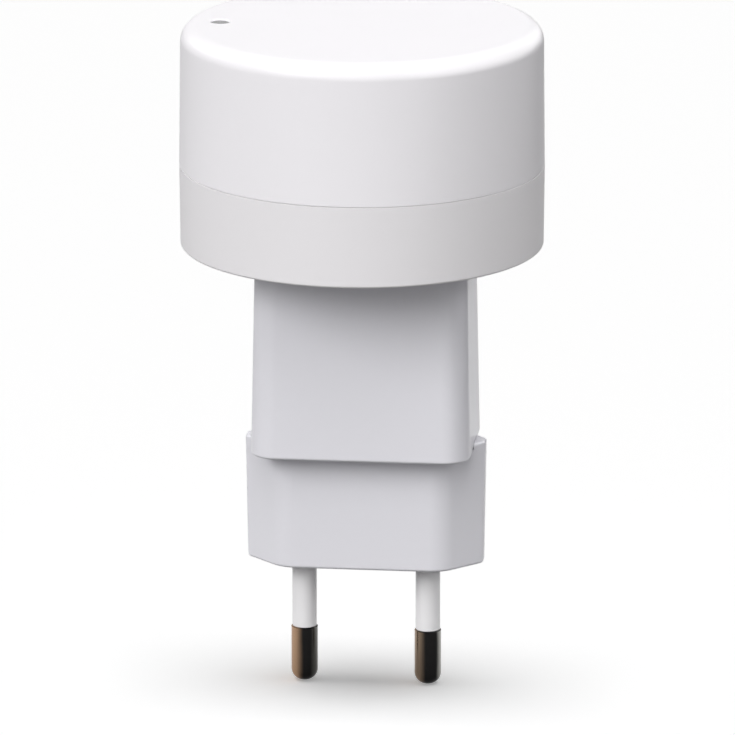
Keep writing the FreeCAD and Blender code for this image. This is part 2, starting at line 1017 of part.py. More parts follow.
def chip_column():
    """X midway between the transformer's pins and the cans' leads."""
    outer_pin = transformer_pin_pitch * (transformer_pins_per_flange - 1) / 2
    return (outer_pin + column_middle() - can_lead_pitch / 2) / 2


def bridge_rectifier():
    """The four-legged rectifier behind the transformer, on the left."""
    chip = legged_chip(rectifier_sizes, rectifier_legs)
    return behind_board(chip, -chip_column(), transformer_middle(), 90)


def control_chip():
    """The eight-legged switching controller behind the transformer, on the right."""
    chip = legged_chip(controller_sizes, controller_legs)
    return behind_board(chip, chip_column(), transformer_middle(), 90)


def output_diode():
    """The rectifier diode of the 5 V side, behind the USB socket."""
    tabs_bottom = ceiling() - (usb_socket_length + usb_socket_tab_width) / 2
    chip = legged_chip(diode_sizes, diode_legs)
    return behind_board(chip, 0, (leg_height() + tabs_bottom) / 2, 0)


# Gateway shells


def base_radius(z):
    """Outer radius of the base at height z."""
    return gateway_radius - (seam - z) * slope(base_draft)


def cover_radius(z):
    """Outer radius of the cover at height z."""
    return gateway_radius - (z - seam) * slope(cover_draft)


def tongue_outer_radius():
    """Outer radius of the tongue that stands up from the base's wall."""
    return gateway_radius - shell_wall + tongue_thickness


def hook_outer_radius():
    """Radius of the back of a snap hook, clear of the cover's inner wall."""
    return cover_radius(seam + hook_height) - shell_wall - hook_clearance


def hook_profile():
    """Section of a snap hook, from its root in the base's wall to its barb."""
    outer = hook_outer_radius()
    inner = outer - hook_thickness
    bite = base_radius(seam - hook_root) - shell_wall + hook_wall_bite
    top = seam + hook_height
    barb_bottom = top - hook_barb_height
    return [
        (inner, seam - hook_root, 0),
        (bite, seam - hook_root, 0),
        (bite, seam - seam_gap, 0),
        (outer, seam - seam_gap, 0),
        (outer, barb_bottom, 0),
        (outer + hook_barb, barb_bottom, 0),
        (outer + hook_barb / 4, top, 0),
        (inner, top, 0),
    ]


def hook_pocket_profile():
    """Section of the pocket in the cover that a hook's barb snaps into."""
    outer = hook_outer_radius()
    top = seam + hook_height + hook_clearance
    bottom = seam + hook_height - hook_barb_height - hook_clearance
    reach = outer + hook_barb + hook_clearance
    return [(outer, bottom, 0), (reach, bottom, 0), (reach, top, 0), (outer, top, 0)]


def hook_headings():
    """Headings of the snap hooks."""
    return around(hook_count, 180.0 / hook_count)


def main_board_bottom():
    """Height of the main board's underside, on the posts."""
    return body_top + base_floor + post_height


def main_board_top():
    """Height of the main board's upper face."""
    return main_board_bottom() + main_board_thickness


def main_board_radius():
    """Radius of the main board, clear of the snap hooks."""
    return hook_outer_radius() - hook_thickness - main_board_clearance


def post_places():
    """X and Y of the posts that carry the main board."""
    radius = main_board_radius() - post_inset
    places = []
    for heading in around(post_count, post_heading):
        turn = math.radians(heading)
        places.append((gateway_offset + radius * math.cos(turn), radius * math.sin(turn)))
    return places


def base_shell():
    """The turned shell of the base: floor, drafted wall and tongue."""
    inner = gateway_radius - shell_wall
    floor_top = body_top + base_floor
    rim = seam - seam_gap / 2
    profile = [
        (0, body_top, 0),
        (base_radius(body_top), body_top, base_edge_radius),
        (base_radius(rim), rim - seam_edge, 0),
        (base_radius(rim) - seam_edge, rim, 0),
        (tongue_outer_radius(), rim, 0),
        (tongue_outer_radius(), seam + tongue_height, 0),
        (inner, seam + tongue_height, 0),
        (inner, rim, 0),
        (base_radius(floor_top) - shell_wall, floor_top + inner_corner, 0),
        (base_radius(floor_top) - shell_wall - inner_corner, floor_top, 0),
        (0, floor_top, 0),
    ]
    return turned(profile, gateway_offset)


def base_cover():
    """The base with its hooks, posts and the collar round the USB plug."""
    base = base_shell()
    for heading in hook_headings():
        base = base.fuse(sector(hook_profile(), gateway_offset, 0, hook_width, gateway_radius, heading))
    floor_top = body_top + base_floor
    for x, y in post_places():
        base = base.fuse(cylinder(x, y, floor_top, main_board_bottom(), post_diameter))
        bore = screw_diameter + 2 * screw_thread_clearance
        base = base.cut(cylinder(x, y, floor_top, main_board_bottom(), bore))
    wall = 2 * (plug_collar_wall + usb_fit)
    collar = centred_box(0, body_middle(), usb_plug_width + wall, usb_plug_depth + wall,
                         floor_top, floor_top + plug_collar_height)
    slot = centred_box(0, body_middle(), usb_plug_width + 2 * usb_fit, usb_plug_depth + 2 * usb_fit,
                       body_top, floor_top + plug_collar_height)
    return base.fuse(collar).cut(slot).removeSplitter()


def light_centre():
    """X and Y of the light pipe, near the gateway's rim."""
    turn = math.radians(light_turn)
    radius = gateway_radius - light_inset
    return gateway_offset + radius * math.cos(turn), radius * math.sin(turn)


def cover_shell():
    """The turned shell of the cover, with the step that takes the tongue."""
    rim = seam + seam_gap / 2
    ledge = seam + tongue_height
    under = gateway_top - cover_ceiling
    groove = tongue_outer_radius() + tongue_clearance
    profile = [
        (groove, rim, 0),
        (cover_radius(rim) - seam_edge, rim, 0),
        (cover_radius(rim), rim + seam_edge, 0),
        (cover_radius(gateway_top), gateway_top, cover_edge_radius),
        (0, gateway_top, 0),
        (0, under, 0),
        (cover_radius(under) - shell_wall - inner_corner, under, 0),
        (cover_radius(under) - shell_wall, under - inner_corner, 0),
        (cover_radius(ledge) - shell_wall, ledge, 0),
        (groove, ledge, 0),
    ]
    return turned(profile, gateway_offset)


def top_cover():
    """The cover with the light pipe's tube and hole and the hooks' pockets."""
    cover = cover_shell()
    x, y = light_centre()
    under = gateway_top - cover_ceiling
    bore = light_collar_diameter + 2 * light_clearance
    tube = cylinder(x, y, under - light_tube_height, under, bore + 2 * light_tube_wall)
    cover = cover.fuse(tube.cut(cylinder(x, y, under - light_tube_height, under, bore)))
    hole = light_diameter + 2 * light_clearance
    cover = cover.cut(cylinder(x, y, under, gateway_top, hole))
    chamfer = Part.makeCone(hole / 2, hole / 2 + light_hole_chamfer, light_hole_chamfer,
                            V(x, y, gateway_top - light_hole_chamfer))
    cover = cover.cut(chamfer)
    for heading in hook_headings():
        width = hook_width + 2 * hook_clearance
        pocket = sector(hook_pocket_profile(), gateway_offset, 0, width, gateway_radius, heading)
        cover = cover.cut(pocket)
    return cover.removeSplitter()


def light_pipe():
    """The clear rod from the lamp to the top, with the collar that seats it."""
    x, y = light_centre()
    under = gateway_top - cover_ceiling
    r = light_diameter / 2
    collar = light_collar_diameter / 2
    bottom = main_board_top() + lamp_height + lamp_gap
    profile = [
        (0, bottom, 0),
        (r, bottom, 0),
        (r, under - light_collar_height, 0),
        (collar, under - light_collar_height, 0),
        (collar, under, 0),
        (r, under, 0),
        (r, gateway_top - light_recess, light_recess),
        (0, gateway_top - light_recess, 0),
    ]
    return turned(profile, x, y)


# Gateway board and what stands on it


def on_main_board(shape, place):
    """Sets a part that stands on Z = 0 onto the main board."""
    shape.translate(V(gateway_offset + place[0], place[1], main_board_top()))
    return shape


def main_board():
    """The round board with its screw holes and the plug's slots."""
    board = cylinder(gateway_offset, 0, main_board_bottom(), main_board_top(), 2 * main_board_radius())
    holes = []
    for x, y in post_places():
        diameter = screw_diameter + 2 * screw_clearance
        holes.append(cylinder(x, y, main_board_bottom(), main_board_top(), diameter))
    holes += plug_tabs(usb_slot_clearance)
    holes += plug_contact_blanks(usb_slot_clearance)
    return board.cut(holes)


def screw(x, y):
    """A pan-head screw with a cross recess and a pointed tip."""
    seat = main_board_top()
    tip = seat - screw_length
    r = screw_diameter / 2
    head = screw_head_diameter / 2
    profile = [
        (0, tip - screw_tip_height, 0),
        (r, tip, 0),
        (r, seat, 0),
        (head, seat, 0),
        (head, seat + screw_head_height - screw_head_edge, 0),
        (head - screw_head_edge, seat + screw_head_height, 0),
        (0, seat + screw_head_height, 0),
    ]
    body = turned(profile, x, y)
    top = seat + screw_head_height
    for width, depth in ((head, screw_recess_width), (screw_recess_width, head)):
        body = body.cut(centred_box(x, y, width, depth, top - screw_recess_depth, top))
    return body


def board_screws():
    """The screws of the main board as one group."""
    return Part.makeCompound([screw(x, y) for x, y in post_places()])


def plug_tip():
    """Height of the open end of the gateway's USB plug."""
    return body_top - usb_plug_reach


def plug_tabs(clearance=0.0):
    """The plug shell's two tabs, which go up through the main board."""
    tabs = []
    width = usb_sheet + 2 * clearance
    depth = usb_tab_width + 2 * clearance
    for side in (-1, 1):
        x = side * (usb_plug_width - usb_sheet) / 2
        tabs.append(centred_box(x, body_middle(), width, depth, main_board_bottom(),
                                main_board_top() + usb_tab_stub))
    return tabs


def usb_plug_shell():
    """The folded sheet of the plug, with its four latch windows."""
    y = body_middle()
    low = plug_tip()
    high = main_board_bottom()
    outside = centred_box(0, y, usb_plug_width, usb_plug_depth, low, high)
    shell = outside.makeFillet(usb_sheet, upright_edges(outside))
    shell = shell.cut(centred_box(0, y, usb_plug_width - 2 * usb_sheet, usb_plug_depth - 2 * usb_sheet,
                                  low, high))
    window = low + usb_window_inset
    for side in (-1, 1):
        x = side * usb_window_offset
        shell = shell.cut(centred_box(x, y, usb_window_width, 2 * usb_plug_depth, window,
                                      window + usb_window_height))
    return shell.multiFuse(plug_tabs()).removeSplitter()


def plug_contact_blanks(clearance=0.0):
    """The four strips of the plug, from its tip up through the main board."""
    strips = []
    plane = contact_plane()
    half = contact_width / 2 + clearance
    for x in contact_places():
        strips.append(box(x - half, x + half, plane - contact_thickness - clearance, plane + clearance,
                          plug_tip() + contact_tip_inset, main_board_top() + usb_tab_stub))
    return strips


def usb_plug_contacts():
    """The four contacts of the plug as one group."""
    return Part.makeCompound(plug_contact_blanks())


def usb_plug_insulator():
    """The block in the plug: a tongue on the front wall and a full back part."""
    y = body_middle()
    half = usb_plug_width / 2 - usb_sheet - usb_fit
    front = y - usb_plug_depth / 2 + usb_sheet + usb_fit
    back = y + usb_plug_depth / 2 - usb_sheet - usb_fit
    high = main_board_bottom() - usb_fit
    tongue = box(-half, half, front, contact_plane(), plug_tip() + contact_tip_inset / 2, high)
    block = box(-half, half, front, back, high - usb_block_height, high)
    return tongue.fuse(block).cut(plug_contact_blanks()).removeSplitter()


def status_led():
    """The lamp under the light pipe."""
    x, y = light_centre()
    top = main_board_top()
    base = centred_box(x, y, lamp_length, lamp_width, top, top + lamp_height / 2)
    lens = centred_box(x, y, lamp_lens_length, lamp_width, top + lamp_height / 2, top + lamp_height)
    return base.fuse(lens)


def wifi_module_board():
    """The radio module's board with half-round notches along both sides."""
    board = centred_box(0, 0, wifi_board_width, wifi_board_length, 0, wifi_board_thickness)
    notches = []
    for side in (-1, 1):
        for i in range(wifi_notch_count):
            y = -wifi_board_length / 2 + (i + 1) * wifi_notch_pitch
            notches.append(cylinder(side * wifi_board_width / 2, y, 0, wifi_board_thickness,
                                    wifi_notch_diameter))
    return on_main_board(board.cut(notches), wifi_board_place)


def wifi_module_shield():
    """The pressed can over the radio's chips."""
    width = wifi_board_width - 2 * wifi_shield_inset
    y = -wifi_board_length / 2 + wifi_shield_inset + wifi_shield_length / 2
    low = wifi_board_thickness
    high = low + wifi_shield_height
    can = centred_box(0, y, width, wifi_shield_length, low, high)
    rounded = [edge for edge in can.Edges if edge.BoundBox.ZMax > low + 1e-4]
    can = can.makeFillet(wifi_shield_edge_radius, rounded)
    sheet = 2 * wifi_shield_sheet
    can = can.cut(centred_box(0, y, width - sheet, wifi_shield_length - sheet, low,
                              high - wifi_shield_sheet))
    return on_main_board(can, wifi_board_place)


def wifi_antenna():
    """The meander of copper on the free end of the module's board."""
    start = -wifi_board_length / 2 + 2 * wifi_shield_inset + wifi_shield_length
    reach = wifi_board_length / 2 - wifi_shield_inset / 2 - start
    span = wifi_board_width - 2 * wifi_shield_inset
    step = (span - antenna_trace) / (2 * antenna_turns)
    low = wifi_board_thickness
    high = low + antenna_thickness
    pieces = []
    for i in range(2 * antenna_turns + 1):
        x = -span / 2 + antenna_trace / 2 + i * step
        pieces.append(centred_box(x, start + reach / 2, antenna_trace, reach, low, high))
        if i < 2 * antenna_turns:
            y = start + antenna_trace / 2 if i % 2 else start + reach - antenna_trace / 2
            pieces.append(centred_box(x + step / 2, y, step, antenna_trace, low, high))
    trace = pieces[0].multiFuse(pieces[1:]).removeSplitter()
    return on_main_board(trace, wifi_board_place)


def bluetooth_chip():
    """The flat chip of the lock's radio."""
    size = bluetooth_chip_size
    chip = centred_box(0, 0, size, size, 0, bluetooth_chip_height)
    chip = chip.makeChamfer(bluetooth_chip_edge, edges_at(chip, bluetooth_chip_height))
    return on_main_board(chip, bluetooth_chip_place)


def bluetooth_antenna():
    """The ceramic antenna at the board's edge."""
    width, length, height = bluetooth_antenna_size
    bar = centred_box(0, 0, width, length, 0, height)
    bar = bar.makeChamfer(bluetooth_antenna_edge, edges_at(bar, height))
    return on_main_board(bar, (main_board_radius() - bluetooth_antenna_inset, 0))


def crystal():
    """The clock crystal in its metal lid."""
    width, length, height = crystal_size
    lid = centred_box(0, 0, width, length, 0, height)
    lid = lid.makeFillet(crystal_edge_radius, edges_at(lid, height))
    return on_main_board(lid, crystal_place)


def memory_chip():
    """The program memory, a small chip on eight legs."""
    return on_main_board(legged_chip(memory_sizes, memory_legs), memory_place)


def voltage_regulator():
    """The regulator with three legs and a wide cooling tab."""
    body = legged_chip(regulator_sizes, regulator_legs)
    reach, width, sheet = regulator_tab
    tab = centred_box(-(regulator_sizes[0] + reach) / 2, 0, reach, width, 0, sheet)
    return on_main_board(body.fuse(tab).removeSplitter(), regulator_place)


def power_inductor():
    """The wound drum of the power supply on its square foot."""
    foot = centred_box(0, 0, inductor_size, inductor_size, 0, inductor_flange)
    foot = foot.makeChamfer(foot_corner_cut, upright_edges(foot))
    rim = inductor_size / 2 - inductor_flange_inset
    waist = rim - inductor_waist
    lower = 2 * inductor_flange
    upper = inductor_height - inductor_flange
    profile = [
        (0, inductor_flange, 0),
        (rim, inductor_flange, 0),
        (rim, lower, 0),
        (waist, lower, 0),
        (waist, upper, 0),
        (rim, upper, 0),
        (rim, inductor_height, 0),
        (0, inductor_height, 0),
    ]
    return on_main_board(foot.fuse(turned(profile)), inductor_place)


def buffer_capacitor(place):
    """A can on a square foot with two cut corners."""
    foot = centred_box(0, 0, buffer_base, buffer_base, 0, buffer_base_height)
    cut = [edge for edge in upright_edges(foot) if edge.BoundBox.XMin > 0]
    foot = foot.makeChamfer(foot_corner_cut, cut)
    r = buffer_diameter / 2
    groove = buffer_base_height + buffer_groove_height
    profile = [
        (0, buffer_base_height, 0),
        (r, buffer_base_height, 0),
        (r, groove - can_groove, 0),
        (r - can_groove, groove, 0),
        (r, groove + can_groove, 0),
        (r, buffer_height - can_edge, 0),
        (r - can_edge, buffer_height, 0),
        (0, buffer_height, 0),
    ]
    return on_main_board(foot.fuse(turned(profile)), place)


def buffer_capacitors():
    """The supply's two buffer capacitors as one group."""
    return Part.makeCompound([buffer_capacitor(place) for place in buffer_places])


def sub_parts():
    """Every piece of the product, by name."""
    left, right = pin_sides()
    pieces = {
        "plug_base": plug_base(),
        "pin_left": pin(left),
        "pin_right": pin(right),
        "pin_sleeve_left": pin_sleeve(left),
        "pin_sleeve_right": pin_sleeve(right),
        "contact_strip_left": contact_strip(left),
        "contact_strip_right": contact_strip(right),
        "adapter_body": adapter_body(),
        "adapter_board": adapter_board(),
        "usb_socket_shell": usb_socket_shell(),
        "usb_socket_insulator": usb_socket_insulator(),
        "usb_socket_contacts": usb_socket_contacts(),
        "transformer_core_lower": transformer_core(False),
        "transformer_core_upper": transformer_core(True),
        "transformer_bobbin": transformer_bobbin(),
        "transformer_winding": transformer_winding(),
        "transformer_pins": transformer_pins(),
        "safety_capacitor": safety_capacitor(),
        "fuse_resistor": fuse_resistor(),
        "bridge_rectifier": bridge_rectifier(),
        "control_chip": control_chip(),
        "output_diode": output_diode(),
        "base_cover": base_cover(),
        "top_cover": top_cover(),
        "light_pipe": light_pipe(),
        "main_board": main_board(),
        "board_screws": board_screws(),
        "usb_plug_shell": usb_plug_shell(),
        "usb_plug_insulator": usb_plug_insulator(),
        "usb_plug_contacts": usb_plug_contacts(),
        "status_led": status_led(),
        "wifi_module_board": wifi_module_board(),
        "wifi_module_shield": wifi_module_shield(),
        "wifi_antenna": wifi_antenna(),
        "bluetooth_chip": bluetooth_chip(),
        "bluetooth_antenna": bluetooth_antenna(),
        "crystal": crystal(),
        "memory_chip": memory_chip(),
        "voltage_regulator": voltage_regulator(),
        "power_inductor": power_inductor(),
        "buffer_capacitors": buffer_capacitors(),
    }
    for name, (side, row) in cans().items():
        pieces[name] = can_capacitor(side, row)
    return pieces


def main():
    """Writes one file for each piece."""
    os.makedirs("parts", exist_ok=True)
    for name, shape in sub_parts().items():
        shape.exportStep("parts/" + name + ".step")
        print(name, len(shape.Solids), round(shape.Volume, 2))


main()
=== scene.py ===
import json
import logging
from dataclasses import dataclass, field
from enum import Enum
from typing import Iterable, Sequence

import bpy
import numpy as np
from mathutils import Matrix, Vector


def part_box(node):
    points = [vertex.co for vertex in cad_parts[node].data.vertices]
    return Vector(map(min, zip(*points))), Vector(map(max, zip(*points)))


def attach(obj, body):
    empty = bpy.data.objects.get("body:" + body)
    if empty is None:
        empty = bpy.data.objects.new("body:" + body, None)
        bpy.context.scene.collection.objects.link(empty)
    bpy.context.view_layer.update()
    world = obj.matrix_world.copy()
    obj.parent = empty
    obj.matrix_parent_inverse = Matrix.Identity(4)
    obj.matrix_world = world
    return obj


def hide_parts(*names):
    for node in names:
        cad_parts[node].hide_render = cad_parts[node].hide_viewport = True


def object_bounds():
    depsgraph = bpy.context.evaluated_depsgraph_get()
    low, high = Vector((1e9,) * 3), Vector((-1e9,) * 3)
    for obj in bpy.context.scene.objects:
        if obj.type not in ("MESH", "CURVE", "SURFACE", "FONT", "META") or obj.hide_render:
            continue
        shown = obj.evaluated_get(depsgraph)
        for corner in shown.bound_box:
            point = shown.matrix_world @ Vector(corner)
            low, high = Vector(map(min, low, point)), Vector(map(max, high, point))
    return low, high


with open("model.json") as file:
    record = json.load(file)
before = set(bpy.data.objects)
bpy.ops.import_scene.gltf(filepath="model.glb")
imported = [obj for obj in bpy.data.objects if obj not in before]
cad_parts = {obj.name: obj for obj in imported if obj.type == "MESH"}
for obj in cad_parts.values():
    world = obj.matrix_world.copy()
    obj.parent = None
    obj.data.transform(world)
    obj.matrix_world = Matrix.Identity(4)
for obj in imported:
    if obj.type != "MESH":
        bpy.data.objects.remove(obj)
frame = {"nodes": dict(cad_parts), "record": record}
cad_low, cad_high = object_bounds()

# The dressed model of a round gateway on its mains adapter. Sizes are in
# millimetres and angles in degrees, unless a comment says otherwise. Z runs up
# from the plug's face through the adapter and the gateway, X goes through both
# pins, and the front is towards -Y.

MM = 0.001
ROUND_POINTS = 240
PIN_POINTS = 96
TUBE_POINTS = 64
CORNER_POINTS = 12
BODY_CORNER_POINTS = 16
RIB_CORNER_POINTS = 4
FILLET_STEPS = 10
SMOOTH_ANGLE = 32.0

# A length that is too small to see, and half the turn between two headings that
# stand for one upright edge.
HAIR = 0.02
EDGE_TURN = 0.03

# How far a rib, a post or a boss reaches into the wall that carries it.
SUNK = 0.2

# Mean height of a noise texture.
NOISE_MEAN = 0.5

# How much more a 45 degree cut takes off from both of its sides for each millimetre
# that the sides and the cut's face move out. A cut of this length also touches a
# corner that is rounded by 1 mm.
CUT_GROWTH = 2 - np.sqrt(2)

Colour = tuple[float, float, float]

log = logging.getLogger("gateway")


# Places read from the frame


def low_of(node: str) -> np.ndarray:
    """Lowest corner of a CAD node, in millimetres."""
    return np.array(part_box(node)[0]) / MM


def high_of(node: str) -> np.ndarray:
    """Highest corner of a CAD node, in millimetres."""
    return np.array(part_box(node)[1]) / MM


def middle_of(node: str) -> np.ndarray:
    """Middle of a CAD node's box, in millimetres."""
    return (low_of(node) + high_of(node)) / 2


# Surfaces worked out as arrays


@dataclass
class Surface:
    """One shell: points x 3 in millimetres, and its faces in arrays of faces x corners."""

    points: np.ndarray
    faces: list[np.ndarray]


def headings_round(count: int, edges: Iterable[float] = ()) -> np.ndarray:
    """Even headings round a full turn, with a close pair added at each edge.

    Args:
        count: of even headings.
        edges: headings at which a wall stands, in degrees.

    Returns:
        Rising headings, in degrees.
    """
    pairs = [edge + side * EDGE_TURN for edge in edges for side in (-1, 1)]
    return np.unique(np.concatenate([np.arange(count) * 360.0 / count, np.mod(pairs, 360.0)]))


def tangent(angle: float) -> float:
    """Tangent of an angle in degrees, which is a drafted wall's slope."""
    return float(np.tan(np.radians(angle)))


def edge_arc(low: float, high: float, radius: float, steps: int = FILLET_STEPS) -> np.ndarray:
    """Points of a rounded edge about its own centre.

    A point at angle t lies at radius times (cos t, sin t), outwards and upwards.

    Args:
        low: angle of the first point.
        high: angle of the last point.
        radius: of the edge.
        steps: number of runs between them.

    Returns:
        (steps + 1) x 2, outwards and upwards.
    """
    angle = np.radians(np.linspace(low, high, steps + 1))
    return radius * np.stack([np.cos(angle), np.sin(angle)], axis=1)


def rounded_outlines(corners: np.ndarray, radii: np.ndarray,
                     per_corner: int = CORNER_POINTS) -> np.ndarray:
    """Rounds the corners of a stack of polygons.

    Each corner becomes an arc about the point that lies one radius inside both
    of its edges, from the outward normal of the edge before to that of the edge
    after, in equal steps.

    Args:
        corners: levels x corners x 2, each polygon anticlockwise.
        radii: levels x corners.
        per_corner: points on each arc.

    Returns:
        levels x (corners * per_corner) x 2.
    """
    before = corners - np.roll(corners, 1, axis=1)
    before /= np.linalg.norm(before, axis=2, keepdims=True)
    after = np.roll(before, -1, axis=1)
    turn = np.arctan2(before[..., 0] * after[..., 1] - before[..., 1] * after[..., 0],
                      (before * after).sum(axis=2))
    start = np.arctan2(-before[..., 0], before[..., 1])
    normal = np.stack([before[..., 1], -before[..., 0]], axis=2)
    run = (radii * np.tan(turn / 2))[..., None]
    centre = corners - before * run - normal * radii[..., None]
    angle = start[..., None] + turn[..., None] * np.linspace(0, 1, per_corner)
    arc = np.stack([np.cos(angle), np.sin(angle)], axis=3) * radii[..., None, None]
    return (centre[:, :, None, :] + arc).reshape(len(corners), -1, 2)


def rectangles(middle: Sequence[float] | np.ndarray, half: np.ndarray) -> np.ndarray:
    """Corners of a stack of rectangles, anticlockwise from the one at +X, +Y.

    Args:
        middle: X and Y, one for all or levels x 2.
        half: levels x 2, half the width and half the depth.

    Returns:
        levels x 4 x 2.
    """
    signs = np.array([(1, 1), (-1, 1), (-1, -1), (1, -1)], float)
    return np.atleast_2d(middle)[:, None, :] + half[:, None, :] * signs


def cut_rectangles(middle: Sequence[float] | np.ndarray, half: np.ndarray,
                   cut: np.ndarray) -> np.ndarray:
    """Corners of a stack of rectangles with their four corners cut at 45 degrees.

    Args:
        middle: X and Y, one for all or levels x 2.
        half: levels x 2, half the width and half the depth.
        cut: levels, the length that each cut takes from both of its sides.

    Returns:
        levels x 8 x 2, anticlockwise from the cut at +X, +Y.
    """
    square = np.repeat(rectangles(middle, half), 2, axis=1)
    pull = np.array([(0, -1), (-1, 0), (1, 0), (0, -1), (0, 1), (1, 0), (-1, 0), (0, 1)], float)
    return square + pull * cut[:, None, None]


def joined(points: np.ndarray, closed: bool) -> Surface:
    """Joins levels of points into a shell.

    Point j of level i is joined to point j of level i + 1, and the last point of
    a level to its first.

    Args:
        points: levels x points x 3, anticlockwise seen from beyond the last level.
        closed: True if the last level is joined to the first, False if the first
            and the last level are closed by flat caps.

    Returns:
        The shell, with its faces outwards where the levels go along the outside.
    """
    levels, count = points.shape[:2]
    lower = np.arange(levels if closed else levels - 1)[:, None] * count
    upper = (lower + count) % (levels * count)
    here = np.arange(count)
    ahead = (here + 1) % count
    quads = np.stack([lower + here, lower + ahead, upper + ahead, upper + here], axis=2)
    caps = [] if closed else [here[None, ::-1], here[None] + (levels - 1) * count]
    return Surface(points.reshape(-1, 3), [quads.reshape(-1, 4), *caps])


def stacked(outlines: np.ndarray, heights: np.ndarray, closed: bool) -> Surface:
    """Joins outlines, each at its own height, into a shell.

    Args:
        outlines: levels x points x 2, anticlockwise seen from above.
        heights: levels.
        closed: as for joined.

    Returns:
        The shell.
    """
    return joined(np.dstack([outlines, np.broadcast_to(heights[:, None], outlines.shape[:2])]), closed)


def sector(profile: np.ndarray, middle: Sequence[float], headings: np.ndarray) -> Surface:
    """Carries a profile along an arc about an upright axis, with flat ends.

    Point j at heading t lies at the middle plus radius_j times (cos t, sin t), at
    height_j.

    Args:
        profile: points x 2, radius and height, anticlockwise.
        middle: X and Y of the axis.
        headings: in degrees, falling.

    Returns:
        The closed shell.
    """
    turn = np.radians(headings)[:, None]
    radius, height = profile.T
    points = [middle[0] + radius * np.cos(turn), middle[1] + radius * np.sin(turn),
              np.broadcast_to(height, (len(headings), len(height)))]
    return joined(np.stack(points, axis=2), False)


def tube(middle: Sequence[float], inner: float, outer: float, low: float, high: float) -> Surface:
    """A plain upright tube wall with crisp ends.

    Args:
        middle: X and Y of its axis.
        inner: radius of the bore.
        outer: radius outside.
        low: height of its lower end.
        high: height of its upper end.

    Returns:
        The closed shell.
    """
    wall = Circles(middle).run([(outer, low), (outer, high), (inner, high), (inner, low)])
    return wall.surface(True, headings_round(TUBE_POINTS))


def block(x: Sequence[float], y: Sequence[float], z: Sequence[float], radius: float) -> Surface:
    """An upright block with rounded upright corners, such as a rib.

    Args:
        x: its two ends along X, lowest first.
        y: its two ends along Y, lowest first.
        z: its two ends along Z, lowest first.
        radius: of its upright corners.

    Returns:
        The closed shell.
    """
    ends = np.array([x, y], float)
    half = np.tile((ends[:, 1] - ends[:, 0]) / 2, (2, 1))
    corners = rectangles(ends.mean(axis=1), half)
    outlines = rounded_outlines(corners, np.full((2, 4), radius), RIB_CORNER_POINTS)
    return stacked(outlines, np.array(z, float), False)


@dataclass
class Drafted:
    """A wall that leans in by its draft as it rises, from a known place at a known height.

    Its place is the radius of a round wall, or how far a straight one stands out.
    """

    place: float
    height: float
    draft: float

    def at(self, height: float) -> float:
        """Place of the wall at a height, or at each height of an array."""
        return self.place + (self.height - height) * tangent(self.draft)

    def rounded(self, edge: float, height: float, end: float, steps: int = FILLET_STEPS) -> np.ndarray:
        """Points of a rounded edge that runs into the wall without a kink.

        The arc's centre lies one edge radius inside the wall, square to it, so the
        arc touches the wall at the angle of its draft.

        Args:
            edge: radius of the edge.
            height: of the arc's centre.
            end: angle at the arc's other end, 90 on top of the wall and -90 below.
            steps: number of runs along the arc.

        Returns:
            (steps + 1) x 2, places and heights, from the lowest up.
        """
        lean = np.radians(self.draft)
        centre = self.at(height + edge * np.sin(lean)) - edge * np.cos(lean)
        low, high = sorted((self.draft, end))
        return edge_arc(low, high, edge, steps) + (centre, height)


@dataclass
class Pocket:
    """A recess in an inner wall: its heading, half its turn, its heights and its radius."""

    heading: float
    half_turn: float
    low: float
    high: float
    reach: float


class Circles:
    """Collects levels of circles: X and Y of the centre, radius and height."""

    def __init__(self, middle: Sequence[float]) -> None:
        """Starts with no level, about an axis at X and Y."""
        self.levels: list[tuple[float, ...]] = []
        self.move(middle)

    def move(self, middle: Sequence[float]) -> "Circles":
        """Goes on about another axis."""
        self.middle = (float(middle[0]), float(middle[1]))
        return self

    def run(self, path: Iterable[Sequence[float]]) -> "Circles":
        """Adds one level for each radius and height of a path."""
        self.levels += [(*self.middle, float(radius), float(height)) for radius, height in path]
        return self

    def spread(self, steps: int) -> "Circles":
        """Divides the last run evenly, centres and radii alike.

        Args:
            steps: number of runs that it becomes.

        Returns:
            The same circles, so that calls can follow one another.
        """
        first, last = np.array(self.levels[-2]), np.array(self.levels[-1])
        share = np.linspace(0, 1, steps + 1)[1:, None]
        self.levels[-1:] = [tuple(level) for level in (first + (last - first) * share).tolist()]
        return self

    def surface(self, closed: bool, headings: np.ndarray, pockets: Iterable[Pocket] = (),
                pockets_from: int = 0) -> Surface:
        """Turns the levels into a shell.

        A point at heading t lies at the level's centre plus its radius times
        (cos t, sin t), and inside a pocket at the pocket's radius instead.

        Args:
            closed: joins the last level to the first, or caps both.
            headings: of the points on each circle, in degrees.
            pockets: recesses in the wall.
            pockets_from: first level that a pocket may change.

        Returns:
            The shell.
        """
        levels = np.array(self.levels)
        turn = np.radians(headings)
        radius = np.repeat(levels[:, 2:3], len(headings), axis=1)
        for pocket in pockets:
            off = np.abs((headings - pocket.heading + 180.0) % 360.0 - 180.0)
            inside = (levels[:, 3] > pocket.low) & (levels[:, 3] < pocket.high)
            inside &= np.arange(len(levels)) >= pockets_from
            radius[np.ix_(inside, off < pocket.half_turn)] = pocket.reach
        circle = np.stack([np.cos(turn), np.sin(turn)], axis=1)
        outlines = levels[:, None, :2] + radius[..., None] * circle
        return stacked(outlines, levels[:, 3], closed)


def add_object(name: str, data: bpy.types.ID) -> bpy.types.Object:
    """Adds an object to the scene, at the origin.

    Args:
        name: of the object.
        data: its mesh, light or camera.

    Returns:
        The object.
    """
    made = bpy.data.objects.new(name, data)
    bpy.context.scene.collection.objects.link(made)
    return made


